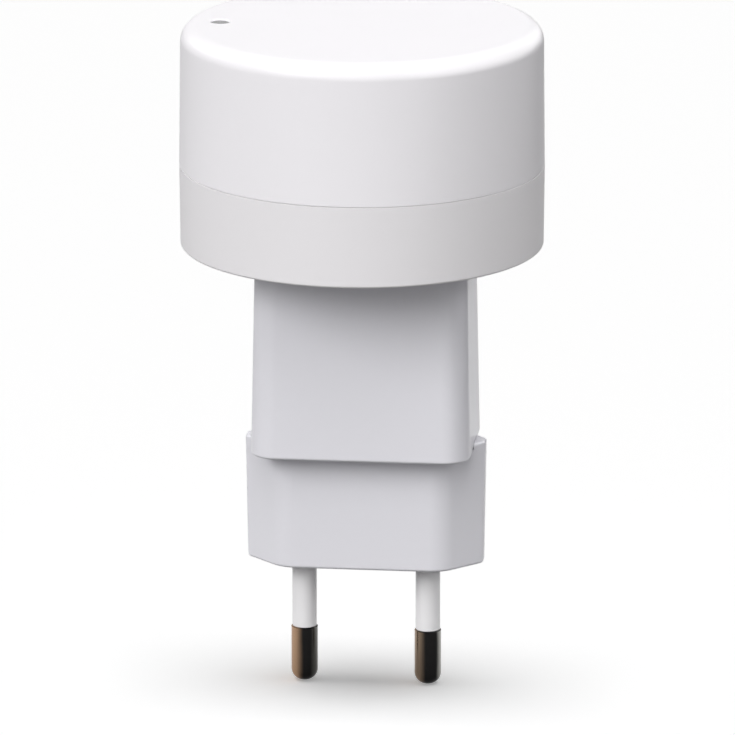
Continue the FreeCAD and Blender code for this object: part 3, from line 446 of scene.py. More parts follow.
def make_piece(name: str, node: str, surfaces: Sequence[Surface]) -> bpy.types.Object:
    """Makes one object of several shells, which stands for a CAD node.

    It is smooth but for its real edges, and large flats keep their own normals.

    Args:
        name: of the object.
        node: that it replaces.
        surfaces: the shells.

    Returns:
        The object, at the origin, with its place in its mesh.
    """
    points = np.concatenate([surface.points for surface in surfaces])
    faces: list[list[int]] = []
    count = 0
    for surface in surfaces:
        faces += [face for rows in surface.faces for face in (rows + count).tolist()]
        count += len(surface.points)
    mesh = bpy.data.meshes.new(name)
    mesh.from_pydata((points * MM).tolist(), [], faces)
    mesh.validate()
    mesh.polygons.foreach_set("use_smooth", np.ones(len(mesh.polygons), bool))
    mesh.set_sharp_from_angle(angle=float(np.radians(SMOOTH_ANGLE)))
    mesh.update()
    piece = add_object(name, mesh)
    weighting = piece.modifiers.new("large_flats", "WEIGHTED_NORMAL")
    weighting.keep_sharp = True
    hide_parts(node)
    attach(piece, "root")
    return piece


# Shader nodes


class NodeSheet:
    """Places nodes in one node tree and links them."""

    def __init__(self, tree: bpy.types.NodeTree) -> None:
        """Takes the tree of a material, a world or a group."""
        self.tree = tree

    def node(self, kind: str, settings: dict | None = None, **inputs: object) -> bpy.types.Node:
        """Adds a node.

        Args:
            kind: Blender's name of the node's type.
            settings: attributes of the node, by name.
            **inputs: sockets by name, with _ for a space, each a value or a socket.

        Returns:
            The node.
        """
        made = self.tree.nodes.new(kind)
        for name, value in (settings or {}).items():
            setattr(made, name, value)
        for name, value in inputs.items():
            self.feed(made.inputs[name.replace("_", " ")], value)
        return made

    def feed(self, socket: bpy.types.NodeSocket, value: object) -> None:
        """Gives a socket its value.

        Args:
            socket: an input.
            value: a value to set, or a socket to link.
        """
        if isinstance(value, bpy.types.NodeSocket):
            self.tree.links.new(value, socket)
        else:
            socket.default_value = value

    def numbered(self, kind: str, settings: dict, values: dict[int, object]) -> bpy.types.Node:
        """Adds a node whose sockets are known by their numbers.

        Args:
            kind: Blender's name of the node's type.
            settings: attributes of the node, by name.
            values: for the inputs, each a value or a socket, by number.

        Returns:
            The node.
        """
        made = self.node(kind, settings)
        for number, value in values.items():
            self.feed(made.inputs[number], value)
        return made

    def combine(self, operation: str, first: object, second: object) -> bpy.types.NodeSocket:
        """Joins two numbers, values or sockets, by an operation such as ADD."""
        return self.numbered("ShaderNodeMath", {"operation": operation}, {0: first, 1: second}).outputs[0]

    def ramp(self, value: object, low: float, high: float) -> bpy.types.NodeSocket:
        """Goes smoothly from 0 where a value is at low to 1 where it is at high."""
        return self.node("ShaderNodeMapRange", {"interpolation_type": "SMOOTHSTEP"}, Value=value,
                         From_Min=low, From_Max=high).outputs[0]

    def mix(self, share: object, first: object, second: object) -> bpy.types.NodeSocket:
        """Mixes two colours, inputs 6 and 7 of the Mix node, by the second one's share."""
        return self.numbered("ShaderNodeMix", {"data_type": "RGBA"},
                           {0: share, 6: first, 7: second}).outputs[2]

    def noise(self, vector: object, scale: object, **more: float) -> bpy.types.NodeSocket:
        """Adds a noise texture, and gives its height from 0 to 1."""
        return self.node("ShaderNodeTexNoise", Vector=vector, Scale=scale, **more).outputs[0]

    def glow(self, tone: float, strength: float) -> bpy.types.Node:
        """Adds an emission of one tone of grey."""
        return self.node("ShaderNodeEmission", Color=rgba((tone,) * 3), Strength=strength)

    def either(self, share: bpy.types.NodeSocket, first: bpy.types.Node,
               second: bpy.types.Node) -> bpy.types.Node:
        """Mixes two shaders by a share of the second."""
        shaders = {0: share, 1: first.outputs[0], 2: second.outputs[0]}
        return self.numbered("ShaderNodeMixShader", {}, shaders)

    def seen_directly(self) -> bpy.types.NodeSocket:
        """Tells how a surface or the sky is seen.

        Returns:
            1 for camera, glossy and transmission rays, 0 for the others.
        """
        path = self.node("ShaderNodeLightPath").outputs
        seen = self.combine("MAXIMUM", path["Is Camera Ray"], path["Is Glossy Ray"])
        return self.combine("MAXIMUM", seen, path["Is Transmission Ray"])

    def show(self, shader: bpy.types.Node, kind: str = "ShaderNodeOutputMaterial") -> None:
        """Links a shader to the output of the tree."""
        self.numbered(kind, {}, {0: shader.outputs[0]})


def rgba(colour: Colour) -> tuple[float, ...]:
    """A colour with full alpha."""
    return (*colour, 1.0)


def blank_material(name: str) -> tuple[bpy.types.Material, NodeSheet]:
    """Makes a material without nodes.

    Args:
        name: of the material.

    Returns:
        The material, and the sheet to draw its nodes on.
    """
    material = bpy.data.materials.new(name)
    material.use_nodes = True
    material.node_tree.nodes.clear()
    return material, NodeSheet(material.node_tree)


class GroupName(Enum):
    """Effects that several finishes share."""

    GRAIN = "moulding_grain"
    DRIFT = "tone_drift"
    GLOSS = "gloss_drift"
    DRAWN = "drawing_lines"


class Effects:
    """Builds each shared effect once, as a node group."""

    # Kinds of socket by the type of their first value, which a vector has not.
    KINDS = {type(None): "NodeSocketVector", tuple: "NodeSocketColor", float: "NodeSocketFloat"}

    # How much finer the noise is than the pits, and the flow marks than the clouds of
    # tone, and what clouds and marks are multiplied by, so that their sum is 1 in
    # the mean.
    NOISE_TO_PITS = 1.7
    MARKS_TO_CLOUDS = 9.0
    CLOUD_SHARE = 1.4
    MARK_SHARE = 0.6

    def __init__(self) -> None:
        """Builds the groups."""
        self.groups = {
            GroupName.GRAIN: self.grain(),
            GroupName.DRIFT: self.drift(),
            GroupName.GLOSS: self.gloss(),
            GroupName.DRAWN: self.drawn(),
        }

    def start(self, name: GroupName, inputs: dict[str, float | tuple[float, ...]],
              output: str) -> tuple[NodeSheet, dict[str, bpy.types.NodeSocket], bpy.types.NodeSocket]:
        """Opens a group and makes its sockets, the first of which is a vector.

        Args:
            name: of the group.
            inputs: names of the other sockets with their first values.
            output: name of its one result, which is a number unless it is called Color.

        Returns:
            The sheet, the input sockets by name, and the socket for the result.
        """
        tree = bpy.data.node_groups.new(name.value, "ShaderNodeTree")
        for label, value in {"Vector": None, **inputs}.items():
            socket = tree.interface.new_socket(label, in_out="INPUT", socket_type=self.KINDS[type(value)])
            if value is not None:
                socket.default_value = value
        kind = self.KINDS[tuple if output == "Color" else float]
        tree.interface.new_socket(output, in_out="OUTPUT", socket_type=kind)
        entry = tree.nodes.new("NodeGroupInput")
        leave = tree.nodes.new("NodeGroupOutput")
        return NodeSheet(tree), dict(entry.outputs.items()), leave.inputs[output]

    def grain(self) -> bpy.types.NodeTree:
        """Height of a spark-eroded mould's skin: pits, with finer noise added.

        Returns:
            The group.
        """
        sheet, given, result = self.start(GroupName.GRAIN, {"Scale": 4000.0}, "Height")
        pits = sheet.node("ShaderNodeTexVoronoi", {"feature": "SMOOTH_F1"}, Vector=given["Vector"],
                          Scale=given["Scale"])
        fine = sheet.noise(given["Vector"], sheet.combine("MULTIPLY", given["Scale"], self.NOISE_TO_PITS),
                           Detail=3.0)
        sheet.feed(result, sheet.combine("ADD", pits.outputs["Distance"], fine))
        return sheet.tree

    def drift(self) -> bpy.types.NodeTree:
        """Slow change of a colour's tone over a moulding, and faint flow marks.

        The colour is multiplied by 1 + amount * (clouds + marks - 1).

        Returns:
            The group.
        """
        sheet, given, result = self.start(
            GroupName.DRIFT, {"Color": (0.8, 0.8, 0.8, 1.0), "Scale": 60.0, "Amount": 0.02}, "Color")
        clouds = sheet.noise(given["Vector"], given["Scale"], Detail=2.0)
        marks = sheet.noise(given["Vector"], sheet.combine("MULTIPLY", given["Scale"], self.MARKS_TO_CLOUDS),
                            Detail=4.0, Distortion=0.6)
        both = sheet.combine("ADD", sheet.combine("MULTIPLY", clouds, self.CLOUD_SHARE),
                             sheet.combine("MULTIPLY", marks, self.MARK_SHARE))
        share = sheet.combine("MULTIPLY", sheet.combine("SUBTRACT", both, 1.0), given["Amount"])
        scaled = sheet.node("ShaderNodeVectorMath", {"operation": "SCALE"},
                            Scale=sheet.combine("ADD", share, 1.0))
        sheet.feed(scaled.inputs[0], given["Color"])
        sheet.feed(result, scaled.outputs[0])
        return sheet.tree

    def gloss(self) -> bpy.types.NodeTree:
        """Roughness that drifts by up to the amount about its mean, as on a handled surface.

        Returns:
            The group.
        """
        sheet, given, result = self.start(
            GroupName.GLOSS, {"Roughness": 0.4, "Scale": 90.0, "Amount": 0.05}, "Roughness")
        cloud = sheet.noise(given["Vector"], given["Scale"], Detail=3.0)
        off = sheet.combine("SUBTRACT", cloud, NOISE_MEAN)
        share = sheet.combine("MULTIPLY", sheet.combine("MULTIPLY", off, given["Amount"]), 2.0)
        sheet.feed(result, sheet.combine("ADD", given["Roughness"], share))
        return sheet.tree

    def drawn(self) -> bpy.types.NodeTree:
        """Height of the fine lines that drawing, rolling or turning leaves on metal.

        Returns:
            The group.
        """
        sheet, given, result = self.start(GroupName.DRAWN, {"Scale": 900.0}, "Height")
        sheet.feed(result, sheet.noise(given["Vector"], given["Scale"], Detail=5.0))
        return sheet.tree


class Paint:
    """One material in the making: its sheet, its shader and its object coordinates."""

    def __init__(self, name: str, effects: Effects) -> None:
        """Opens an empty material.

        Args:
            name: of the material.
            effects: the shared groups.
        """
        self.material, self.sheet = blank_material(name)
        self.effects = effects
        self.shader = self.sheet.node("ShaderNodeBsdfPrincipled")
        self.sheet.show(self.shader)
        self.coordinates = self.sheet.node("ShaderNodeTexCoord").outputs["Object"]

    def set(self, **inputs: object) -> "Paint":
        """Sets or links the shader's sockets.

        Args:
            **inputs: sockets by name, with _ for a space, each a value or a socket.

        Returns:
            The same paint, so that calls can follow one another.
        """
        for name, value in inputs.items():
            self.sheet.feed(self.shader.inputs[name.replace("_", " ")], value)
        return self

    def effect(self, name: GroupName, **inputs: object) -> bpy.types.NodeSocket:
        """Places a shared effect, on the object coordinates unless it is given others."""
        return self.sheet.node("ShaderNodeGroup", {"node_tree": self.effects.groups[name]},
                               **{"Vector": self.coordinates, **inputs}).outputs[0]

    def toned(self, colour: object, **drift: float) -> "Paint":
        """Sets the colour, a value or a socket, with its slow drift of tone."""
        return self.set(Base_Color=self.effect(GroupName.DRIFT, Color=colour, **drift))

    def glossed(self, roughness: float, **drift: float) -> "Paint":
        """Sets the roughness with its drift."""
        return self.set(Roughness=self.effect(GroupName.GLOSS, Roughness=roughness, **drift))

    def placed(self, shift: float = 0.0, scale: Sequence[float] = (1.0, 1.0, 1.0)) -> bpy.types.NodeSocket:
        """Object coordinates scaled along each axis, and then shifted along X by millimetres."""
        return self.sheet.node("ShaderNodeMapping", Vector=self.coordinates, Scale=scale,
                               Location=(shift * MM, 0.0, 0.0)).outputs[0]

    def bump(self, height: bpy.types.NodeSocket, distance: float) -> "Paint":
        """Raises the surface by a height, of which 1 stands for the distance in millimetres."""
        made = self.sheet.node("ShaderNodeBump", Height=height, Distance=distance * MM)
        return self.set(Normal=made.outputs[0])


@dataclass(frozen=True)
class Finish:
    """A finish of the object. Each kind draws itself into a material."""

    def draw(self, paint: Paint) -> None:
        """Draws the finish into an empty material."""
        raise NotImplementedError


@dataclass(frozen=True)
class Plastic(Finish):
    """Moulded plastic: its colour, gloss and the skin that its mould gave it."""

    colour: Colour
    roughness: float
    grain: float = 0.12
    depth: float = 0.004
    drift: float = 0.012
    ior: float = 1.46

    def draw(self, paint: Paint) -> None:
        """Draws the colour and the gloss over the mould's grain."""
        paint.toned(rgba(self.colour), Amount=self.drift).glossed(self.roughness).set(IOR=self.ior)
        paint.bump(paint.effect(GroupName.GRAIN, Scale=1.0 / (self.grain * MM)), self.depth)


@dataclass(frozen=True)
class PaintedReflectionStripe:
    """A painted reflection stripe along a side of a pin: full at one distance across it, gone at another."""

    colour: Colour
    full: float
    gone: float


@dataclass(frozen=True)
class PinMetal(Finish):
    """Polished pin metal, whose near-black colour is a painted dark reflection, with painted reflection
    stripes along its sides.

    Both distances of a stripe run along X from the pin's centre, and its edge
    wavers along the pin.
    """

    centre: float
    painted_reflections: tuple[PaintedReflectionStripe, ...]
    # Near black: a painted dark reflection, in place of the dark surroundings that the polished metal would
    # mirror.
    colour: Colour = (0.013, 0.0125, 0.0125)
    roughness: float = 0.2
    waver: float = 0.5
    waver_scale: float = 700.0
    waver_stretch: tuple[float, ...] = (1.0, 1.0, 0.15)
    line_stretch: tuple[float, ...] = (1.0, 1.0, 0.06)
    line_depth: float = 0.002

    def draw(self, paint: Paint) -> None:
        """Draws the painted dark reflection, the painted reflection stripes over it and the fine lines.

        Args:
            paint: the empty material.
        """
        sheet = paint.sheet
        across = sheet.node("ShaderNodeSeparateXYZ", Vector=paint.placed(shift=-self.centre)).outputs[0]
        cloud = sheet.noise(paint.placed(scale=self.waver_stretch), self.waver_scale, Detail=4.0)
        off = sheet.combine("SUBTRACT", cloud, NOISE_MEAN)
        place = sheet.combine("ADD", across, sheet.combine("MULTIPLY", off, self.waver * MM))
        colour = rgba(self.colour)
        # Each stripe is a painted reflection, warm or pale, laid over the painted dark reflection.
        for side in self.painted_reflections:
            share = sheet.ramp(place, side.gone * MM, side.full * MM)
            colour = sheet.mix(share, colour, rgba(side.colour))
        paint.set(Base_Color=colour, Metallic=1.0).glossed(self.roughness, Scale=400.0)
        lines = paint.effect(GroupName.DRAWN, Vector=paint.placed(scale=self.line_stretch), Scale=3000.0)
        paint.bump(lines, self.line_depth)


@dataclass(frozen=True)
class Metal(Finish):
    """Sheet, wire or plated metal with the lines of its rolling or drawing."""

    colour: Colour
    roughness: float
    stretch: tuple[float, ...] = (1.0, 1.0, 0.08)
    depth: float = 0.003

    def draw(self, paint: Paint) -> None:
        """Draws the metal and the lines on it.

        Args:
            paint: the empty material.
        """
        paint.toned(rgba(self.colour), Scale=400.0, Amount=0.06).glossed(self.roughness, Scale=600.0)
        paint.set(Metallic=1.0)
        lines = paint.effect(GroupName.DRAWN, Vector=paint.placed(scale=self.stretch), Scale=2500.0)
        paint.bump(lines, self.depth)


@dataclass(frozen=True)
class Board(Finish):
    """Solder mask over copper tracks, which stand a little higher.

    The tracks lie where the nearest cell is hardly nearer than the next one, by
    less than a share of the cells' pitch.
    """

    mask: Colour
    track: Colour
    pitch: float = 2.1
    track_share: tuple[float, float] = (0.06, 0.1)
    track_height: float = 0.03
    roughness: float = 0.32

    def draw(self, paint: Paint) -> None:
        """Draws the tracks as the borders of square cells.

        Args:
            paint: the empty material.
        """
        sheet = paint.sheet
        near, next_near = (
            sheet.node("ShaderNodeTexVoronoi", {"distance": "CHEBYCHEV", "feature": feature},
                       Vector=paint.coordinates, Scale=1.0 / (self.pitch * MM)).outputs["Distance"]
            for feature in ("F1", "F2"))
        full, gone = self.track_share
        tracks = sheet.ramp(sheet.combine("SUBTRACT", next_near, near), gone, full)
        paint.toned(sheet.mix(tracks, rgba(self.mask), rgba(self.track)), Scale=500.0, Amount=0.08)
        paint.glossed(self.roughness, Scale=500.0).bump(tracks, self.track_height)


@dataclass(frozen=True)
class Speckled(Finish):
    """A dull solid with fine speckle: ferrite, ceramic, filled resin or lacquer."""

    colour: Colour
    fleck: Colour
    roughness: float
    size: float = 0.15
    depth: float = 0.01
    fleck_range: tuple[float, float] = (0.5, 0.72)

    def draw(self, paint: Paint) -> None:
        """Draws the flecks over grain of the same size.

        Args:
            paint: the empty material.
        """
        sheet, scale = paint.sheet, 1.0 / (self.size * MM)
        share = sheet.ramp(sheet.noise(paint.coordinates, scale, Detail=3.0), *self.fleck_range)
        paint.set(Base_Color=sheet.mix(share, rgba(self.colour), rgba(self.fleck)))
        paint.glossed(self.roughness, Scale=300.0)
        paint.bump(paint.effect(GroupName.GRAIN, Scale=scale), self.depth)


@dataclass(frozen=True)
class WoundTape(Finish):
    """Polyester tape over a winding, with the wires' ridges showing through.

    The wave texture repeats once in wave_length metres at a scale of 1.
    """

    colour: Colour = (0.78, 0.56, 0.06)
    wire: Colour = (0.5, 0.27, 0.07)
    pitch: float = 0.45
    wave_length: float = 0.314
    ridge: float = 0.5
    wire_share: float = 0.55
    depth: float = 0.05
    roughness: float = 0.28
    coat: float = 0.5

    def draw(self, paint: Paint) -> None:
        """Draws the ridges, and the wires' colour in between.

        Args:
            paint: the empty material.
        """
        sheet = paint.sheet
        ridges = sheet.node("ShaderNodeTexWave", {"bands_direction": "Z"}, Vector=paint.coordinates,
                            Scale=self.wave_length / (self.pitch * MM), Distortion=0.4,
                            Detail=2.0).outputs["Fac"]
        share = sheet.combine("MULTIPLY", sheet.ramp(ridges, self.ridge, 0.0), self.wire_share)
        paint.set(Base_Color=sheet.mix(share, rgba(self.colour), rgba(self.wire)), Coat_Weight=self.coat)
        paint.glossed(self.roughness, Scale=300.0).bump(ridges, self.depth)


@dataclass(frozen=True)
class LightGuide(Finish):
    """A clear rod with a frosted end, which looks grey while its lamp is off."""

    colour: Colour = (0.13, 0.13, 0.135)
    roughness: float = 0.22
    coat: float = 0.2
    depth: float = 0.004

    def draw(self, paint: Paint) -> None:
        """Draws the grey end with its frost.

        Args:
            paint: the empty material.
        """
        paint.toned(rgba(self.colour), Scale=900.0, Amount=0.1).glossed(self.roughness, Scale=900.0)
        paint.set(Coat_Weight=self.coat)
        paint.bump(paint.effect(GroupName.GRAIN, Scale=9000.0), self.depth)


class Finishes:
    """Every finish of the object, made once and handed out by its slot."""

    def __init__(self) -> None:
        """Lists the finishes by the slot that they fill."""
        self.effects = Effects()
        self.made: dict[str, bpy.types.Material] = {}
        self.finishes: dict[str, Finish] = {
            "gateway_cover": Plastic((0.903, 0.885, 0.912), 0.36, depth=0.003),
            # The base is darker than the cover: partly its own tone, and partly painted shade of its wall,
            # which faces a little downwards.
            "gateway_base": Plastic((0.838, 0.82, 0.838), 0.48, depth=0.003),
            "adapter_housing": Plastic((0.78, 0.772, 0.815), 0.3, grain=0.1, depth=0.0025),
            "light_guide": LightGuide(),
            "pin_sleeve": Plastic((0.873, 0.862, 0.873), 0.34, grain=0.09, depth=0.002),
            "contact_strip": Metal((0.78, 0.56, 0.28), 0.28),
            "usb_contact": Metal((0.86, 0.64, 0.24), 0.2),
            "steel_sheet": Metal((0.62, 0.62, 0.61), 0.3),
            "screw_steel": Metal((0.5, 0.5, 0.52), 0.34, stretch=(1.0, 1.0, 0.3)),
            "tinned_wire": Metal((0.68, 0.68, 0.67), 0.3),
            "circuit_board": Board((0.012, 0.105, 0.04), (0.03, 0.19, 0.07)),
            "module_board": Board((0.008, 0.02, 0.085), (0.02, 0.05, 0.16), pitch=1.3),
            "usb_insulator": Plastic((0.016, 0.016, 0.017), 0.42, depth=0.006, drift=0.06),
            "ferrite": Speckled((0.028, 0.028, 0.031), (0.07, 0.07, 0.075), 0.62),
            "bobbin_plastic": Plastic((0.02, 0.017, 0.014), 0.46, depth=0.006, drift=0.06),
            "winding_tape": WoundTape(),
            "chip_resin": Speckled((0.014, 0.014, 0.015), (0.035, 0.035, 0.037), 0.5, size=0.06),
            "capacitor_can": Metal((0.72, 0.72, 0.74), 0.24),
            "disc_coating": Speckled((0.012, 0.06, 0.3), (0.03, 0.11, 0.4), 0.24, size=0.5, depth=0.02),
            "resistor_coating": Speckled((0.12, 0.22, 0.17), (0.2, 0.3, 0.24), 0.3, size=0.2),
            "antenna_ceramic": Speckled((0.74, 0.74, 0.7), (0.62, 0.62, 0.58), 0.35, size=0.1, depth=0.004),
            "lamp": Plastic((0.85, 0.82, 0.6), 0.2, depth=0.001),
        }

    def material(self, name: str, finish: Finish) -> bpy.types.Material:
        """Draws a finish as a new material.

        Args:
            name: of the material.
            finish: to draw.

        Returns:
            The material.
        """
        paint = Paint(name, self.effects)
        finish.draw(paint)
        return paint.material

    def of_slot(self, slot: str) -> bpy.types.Material:
        """Finds the material that fills a slot, and draws it the first time.

        Args:
            slot: of the record.

        Returns:
            The material.
        """
        if slot not in self.made:
            self.made[slot] = self.material(slot, self.finishes[slot])
        return self.made[slot]

    def dress(self, piece: bpy.types.Object, slot: str,
              material: bpy.types.Material | None = None) -> bpy.types.Object:
        """Gives a new piece its finish.

        Args:
            piece: to dress.
            slot: of the record.
            material: in place of the slot's own.

        Returns:
            The piece.
        """
        piece.data.materials.clear()
        piece.data.materials.append(material or self.of_slot(slot))
        log.info("%s: %d faces, %s", piece.name, len(piece.data.polygons), slot)
        return piece


# The gateway


@dataclass
class Hooks:
    """The four snap hooks of the gateway, measured from the seam."""

    heading: float = 45.0
    count: int = 4
    width: float = 6.0
    thickness: float = 1.2
    height: float = 8.0
    root: float = 5.0
    clearance: float = 0.15
    barb: float = 0.6
    barb_height: float = 1.8
    bite: float = 0.4
    steps: int = 8

    def headings(self) -> list[float]:
        """Headings of the hooks."""
        return [self.heading + 360.0 * i / self.count for i in range(self.count)]

    def half_turn(self, radius: float, clearance: float = 0.0) -> float:
        """Half the turn that a hook spans, in degrees, with a clearance on both sides."""
        return float(np.degrees((self.width + 2 * clearance) / radius)) / 2


@dataclass
class Gateway:
    """The round gateway: cover, base and light guide."""

    finishes: Finishes
    wall: float = 1.8
    ceiling: float = 1.8
    floor: float = 2.0
    cover_draft: float = 0.7
    base_draft: float = 0.5
    top_edge: float = 2.5
    top_edge_steps: int = 20
    top_rings: int = 6
    ceiling_rings: int = 4
    bottom_edge: float = 0.4
    inner_corner: float = 0.8
    seam_gap: float = 0.04
    seam_edge: float = 0.1
    base_seam_edge: float = 0.03
    tongue: float = 0.8
    tongue_height: float = 1.8
    tongue_clearance: float = 0.05
    post_count: int = 3
    post_diameter: float = 5.5
    post_height: float = 4.0
    post_inset: float = 6.5
    post_heading: float = 30.0
    screw_bore: float = 2.04
    board_clearance: float = 0.3
    guide_diameter: float = 2.7
    guide_clearance: float = 0.08
    guide_chamfer: float = 0.1
    guide_recess: float = 0.15
    guide_edge_steps: int = 4
    guide_tube_wall: float = 0.8
    guide_tube_height: float = 6.0
    guide_collar_height: float = 1.0
    hole_chamfer: float = 0.15
    collar_wall: float = 1.2
    collar_height: float = 2.4
    plug_size: tuple[float, float] = (12.0, 4.5)
    plug_fit: float = 0.05
    slot_corner: float = 0.15
    hooks: Hooks = field(default_factory=Hooks)

    def __post_init__(self) -> None:
        """Reads the gateway's place from the CAD nodes that it stands for."""
        cover_low, cover_high = low_of("top_cover"), high_of("top_cover")
        self.middle = ((cover_low + cover_high) / 2)[:2]
        self.top = float(cover_high[2])
        self.bottom = float(low_of("base_cover")[2])
        self.seam = float(cover_low[2]) - self.seam_gap / 2
        self.radius = round(float(cover_high[0] - cover_low[0]) / 2, 1)
        self.cover_wall = Drafted(self.radius, self.seam, self.cover_draft)
        self.base_wall = Drafted(self.radius, self.seam, -self.base_draft)
        self.guide_middle = middle_of("light_pipe")[:2]
        self.collar_radius = float(high_of("light_pipe")[0] - low_of("light_pipe")[0]) / 2
        self.hook_back = self.cover_wall.at(self.seam + self.hooks.height) - self.wall - self.hooks.clearance
        self.tongue_radius = self.radius - self.wall + self.tongue

    def cover(self) -> bpy.types.Object:
        """The cover, one run of circles that starts and ends at the rim.

        It goes up the drafted wall, over the rounded top edge and across the top to
        the light's hole, down that and its tube, and back along the inner side.

        Returns:
            The dressed piece.
        """
        rim = self.seam + self.seam_gap / 2
        ledge = self.seam + self.tongue_height
        under = self.top - self.ceiling
        groove = self.tongue_radius + self.tongue_clearance
        outer = self.cover_wall.at(rim)
        skin = Circles(self.middle)
        skin.run([(groove, rim), (outer - self.seam_edge, rim), (outer, rim + self.seam_edge)])
        skin.run(self.cover_wall.rounded(self.top_edge, self.top - self.top_edge, 90.0, self.top_edge_steps))

        hole = self.guide_diameter / 2 + self.guide_clearance
        bore = self.collar_radius + self.guide_clearance
        tube_low = under - self.guide_tube_height
        skin.move(self.guide_middle).run([(hole + self.hole_chamfer, self.top)]).spread(self.top_rings)
        skin.run([(hole, self.top - self.hole_chamfer), (hole, under), (bore, under), (bore, tube_low),
                  (bore + self.guide_tube_wall, tube_low), (bore + self.guide_tube_wall, under)])

        inner = self.cover_wall.at(under) - self.wall
        skin.move(self.middle).run([(inner - self.inner_corner, under)]).spread(self.ceiling_rings)
        skin.run([(inner, under - self.inner_corner)])
        pockets_from = len(skin.levels)
        low = self.seam + self.hooks.height - self.hooks.barb_height - self.hooks.clearance
        high = self.seam + self.hooks.height + self.hooks.clearance
        skin.run([(self.cover_wall.at(height) - self.wall, height)
                  for height in (high + HAIR, high - HAIR, low + HAIR, low - HAIR, ledge)])
        skin.run([(groove, ledge)])

        half = self.hooks.half_turn(self.radius, self.hooks.clearance)
        reach = self.hook_back + self.hooks.barb + self.hooks.clearance
        pockets = [Pocket(heading, half, low, high, reach) for heading in self.hooks.headings()]
        edges = [pocket.heading + side * half for pocket in pockets for side in (-1, 1)]
        surface = skin.surface(True, headings_round(ROUND_POINTS, edges), pockets, pockets_from)
        return self.finishes.dress(make_piece("gateway_cover_shell", "top_cover", [surface]),
                                   "gateway_cover")

    def base_shell(self) -> Surface:
        """The base's floor, drafted wall, tongue and the collar round the plug.

        Round levels are circles, drawn as squares that are all corner, and the
        plug's slot and collar are rectangles, so that one runs over into the other.

        Returns:
            The closed shell.
        """
        inner = self.radius - self.wall
        floor_top = self.bottom + self.floor
        inner_floor = self.base_wall.at(floor_top) - self.wall
        rim = self.seam - self.seam_gap / 2
        outer = self.base_wall.at(rim)
        tongue_top = self.seam + self.tongue_height
        circles = np.concatenate([
            self.base_wall.rounded(self.bottom_edge, self.bottom + self.bottom_edge, -90.0),
            [(outer, rim - self.base_seam_edge), (outer - self.base_seam_edge, rim),
             (self.tongue_radius, rim), (self.tongue_radius, tongue_top), (inner, tongue_top), (inner, rim),
             (inner_floor, floor_top + self.inner_corner), (inner_floor - self.inner_corner, floor_top)]])
        collar_top = floor_top + self.collar_height
        collar = np.array([(self.collar_wall, floor_top), (self.collar_wall, collar_top),
                           (0.0, collar_top), (0.0, self.bottom)])

        side_left = 1e-4
        radius, grown = circles[:, :1], collar[:, :1]
        radii = np.concatenate([radius - side_left, self.slot_corner + grown / 4])
        half_slot = np.array(self.plug_size) / 2 + self.plug_fit
        halves = np.concatenate([np.tile(radius, 2), half_slot + grown])
        slot_middle = np.array((0.0, middle_of("usb_plug_insulator")[1]))
        middles = np.repeat([self.middle, slot_middle], [len(circles), len(collar)], axis=0)
        outlines = rounded_outlines(rectangles(middles, halves), np.tile(radii, 4), ROUND_POINTS // 4)
        return stacked(outlines, np.concatenate([circles, collar])[:, 1], True)

    def hook_surfaces(self) -> list[Surface]:
        """The snap hooks, each its section carried along an arc.

        Returns:
            One closed shell for each hook.
        """
        hooks = self.hooks
        outer = self.hook_back
        inner = outer - hooks.thickness
        root = self.seam - hooks.root
        bite = self.base_wall.at(root) - self.wall + hooks.bite
        below_seam = self.seam - self.seam_gap
        top = self.seam + hooks.height
        barb_bottom = top - hooks.barb_height
        profile = np.array([(inner, root), (bite, root), (bite, below_seam), (outer, below_seam),
                            (outer, barb_bottom), (outer + hooks.barb, barb_bottom),
                            (outer + hooks.barb / 4, top), (inner, top)])
        half = hooks.half_turn(self.radius)
        return [sector(profile, self.middle, np.linspace(heading + half, heading - half, hooks.steps + 1))
                for heading in hooks.headings()]

    def post_surfaces(self) -> list[Surface]:
        """The posts that carry the main board, each a bored tube.

        Returns:
            One closed shell for each post.
        """
        board = self.hook_back - self.hooks.thickness - self.board_clearance
        turns = np.radians(self.post_heading + 360.0 * np.arange(self.post_count) / self.post_count)
        places = self.middle + (board - self.post_inset) * np.stack([np.cos(turns), np.sin(turns)], axis=1)
        floor_top = self.bottom + self.floor
        return [tube(place, self.screw_bore / 2, self.post_diameter / 2, floor_top - SUNK,
                     floor_top + self.post_height) for place in places]

    def base(self) -> bpy.types.Object:
        """The base with its hooks and posts, moulded as one."""
        surfaces = [self.base_shell(), *self.hook_surfaces(), *self.post_surfaces()]
        return self.finishes.dress(make_piece("gateway_base_shell", "base_cover", surfaces), "gateway_base")

    def light_guide(self) -> bpy.types.Object:
        """The clear rod with the collar that seats it, rounded at its upper end.

        Returns:
            The dressed piece.
        """
        low = low_of("light_pipe")[2]
        under = self.top - self.ceiling
        collar_low = under - self.guide_collar_height
        radius = self.guide_diameter / 2
        end = self.top - self.guide_recess
        rod = Circles(self.guide_middle)
        rod.run([(radius - self.guide_chamfer, low), (radius, low + self.guide_chamfer),
                 (radius, collar_low), (self.collar_radius, collar_low), (self.collar_radius, under),
                 (radius, under)])
        rod.run(edge_arc(0.0, 90.0, self.guide_recess, self.guide_edge_steps)
                + (radius - self.guide_recess, end - self.guide_recess))
        surface = rod.surface(False, headings_round(TUBE_POINTS))
        return self.finishes.dress(make_piece("light_guide_rod", "light_pipe", [surface]), "light_guide")

    def build(self) -> list[bpy.types.Object]:
        """Builds the gateway's visible pieces."""
        return [self.cover(), self.base(), self.light_guide()]


# The adapter


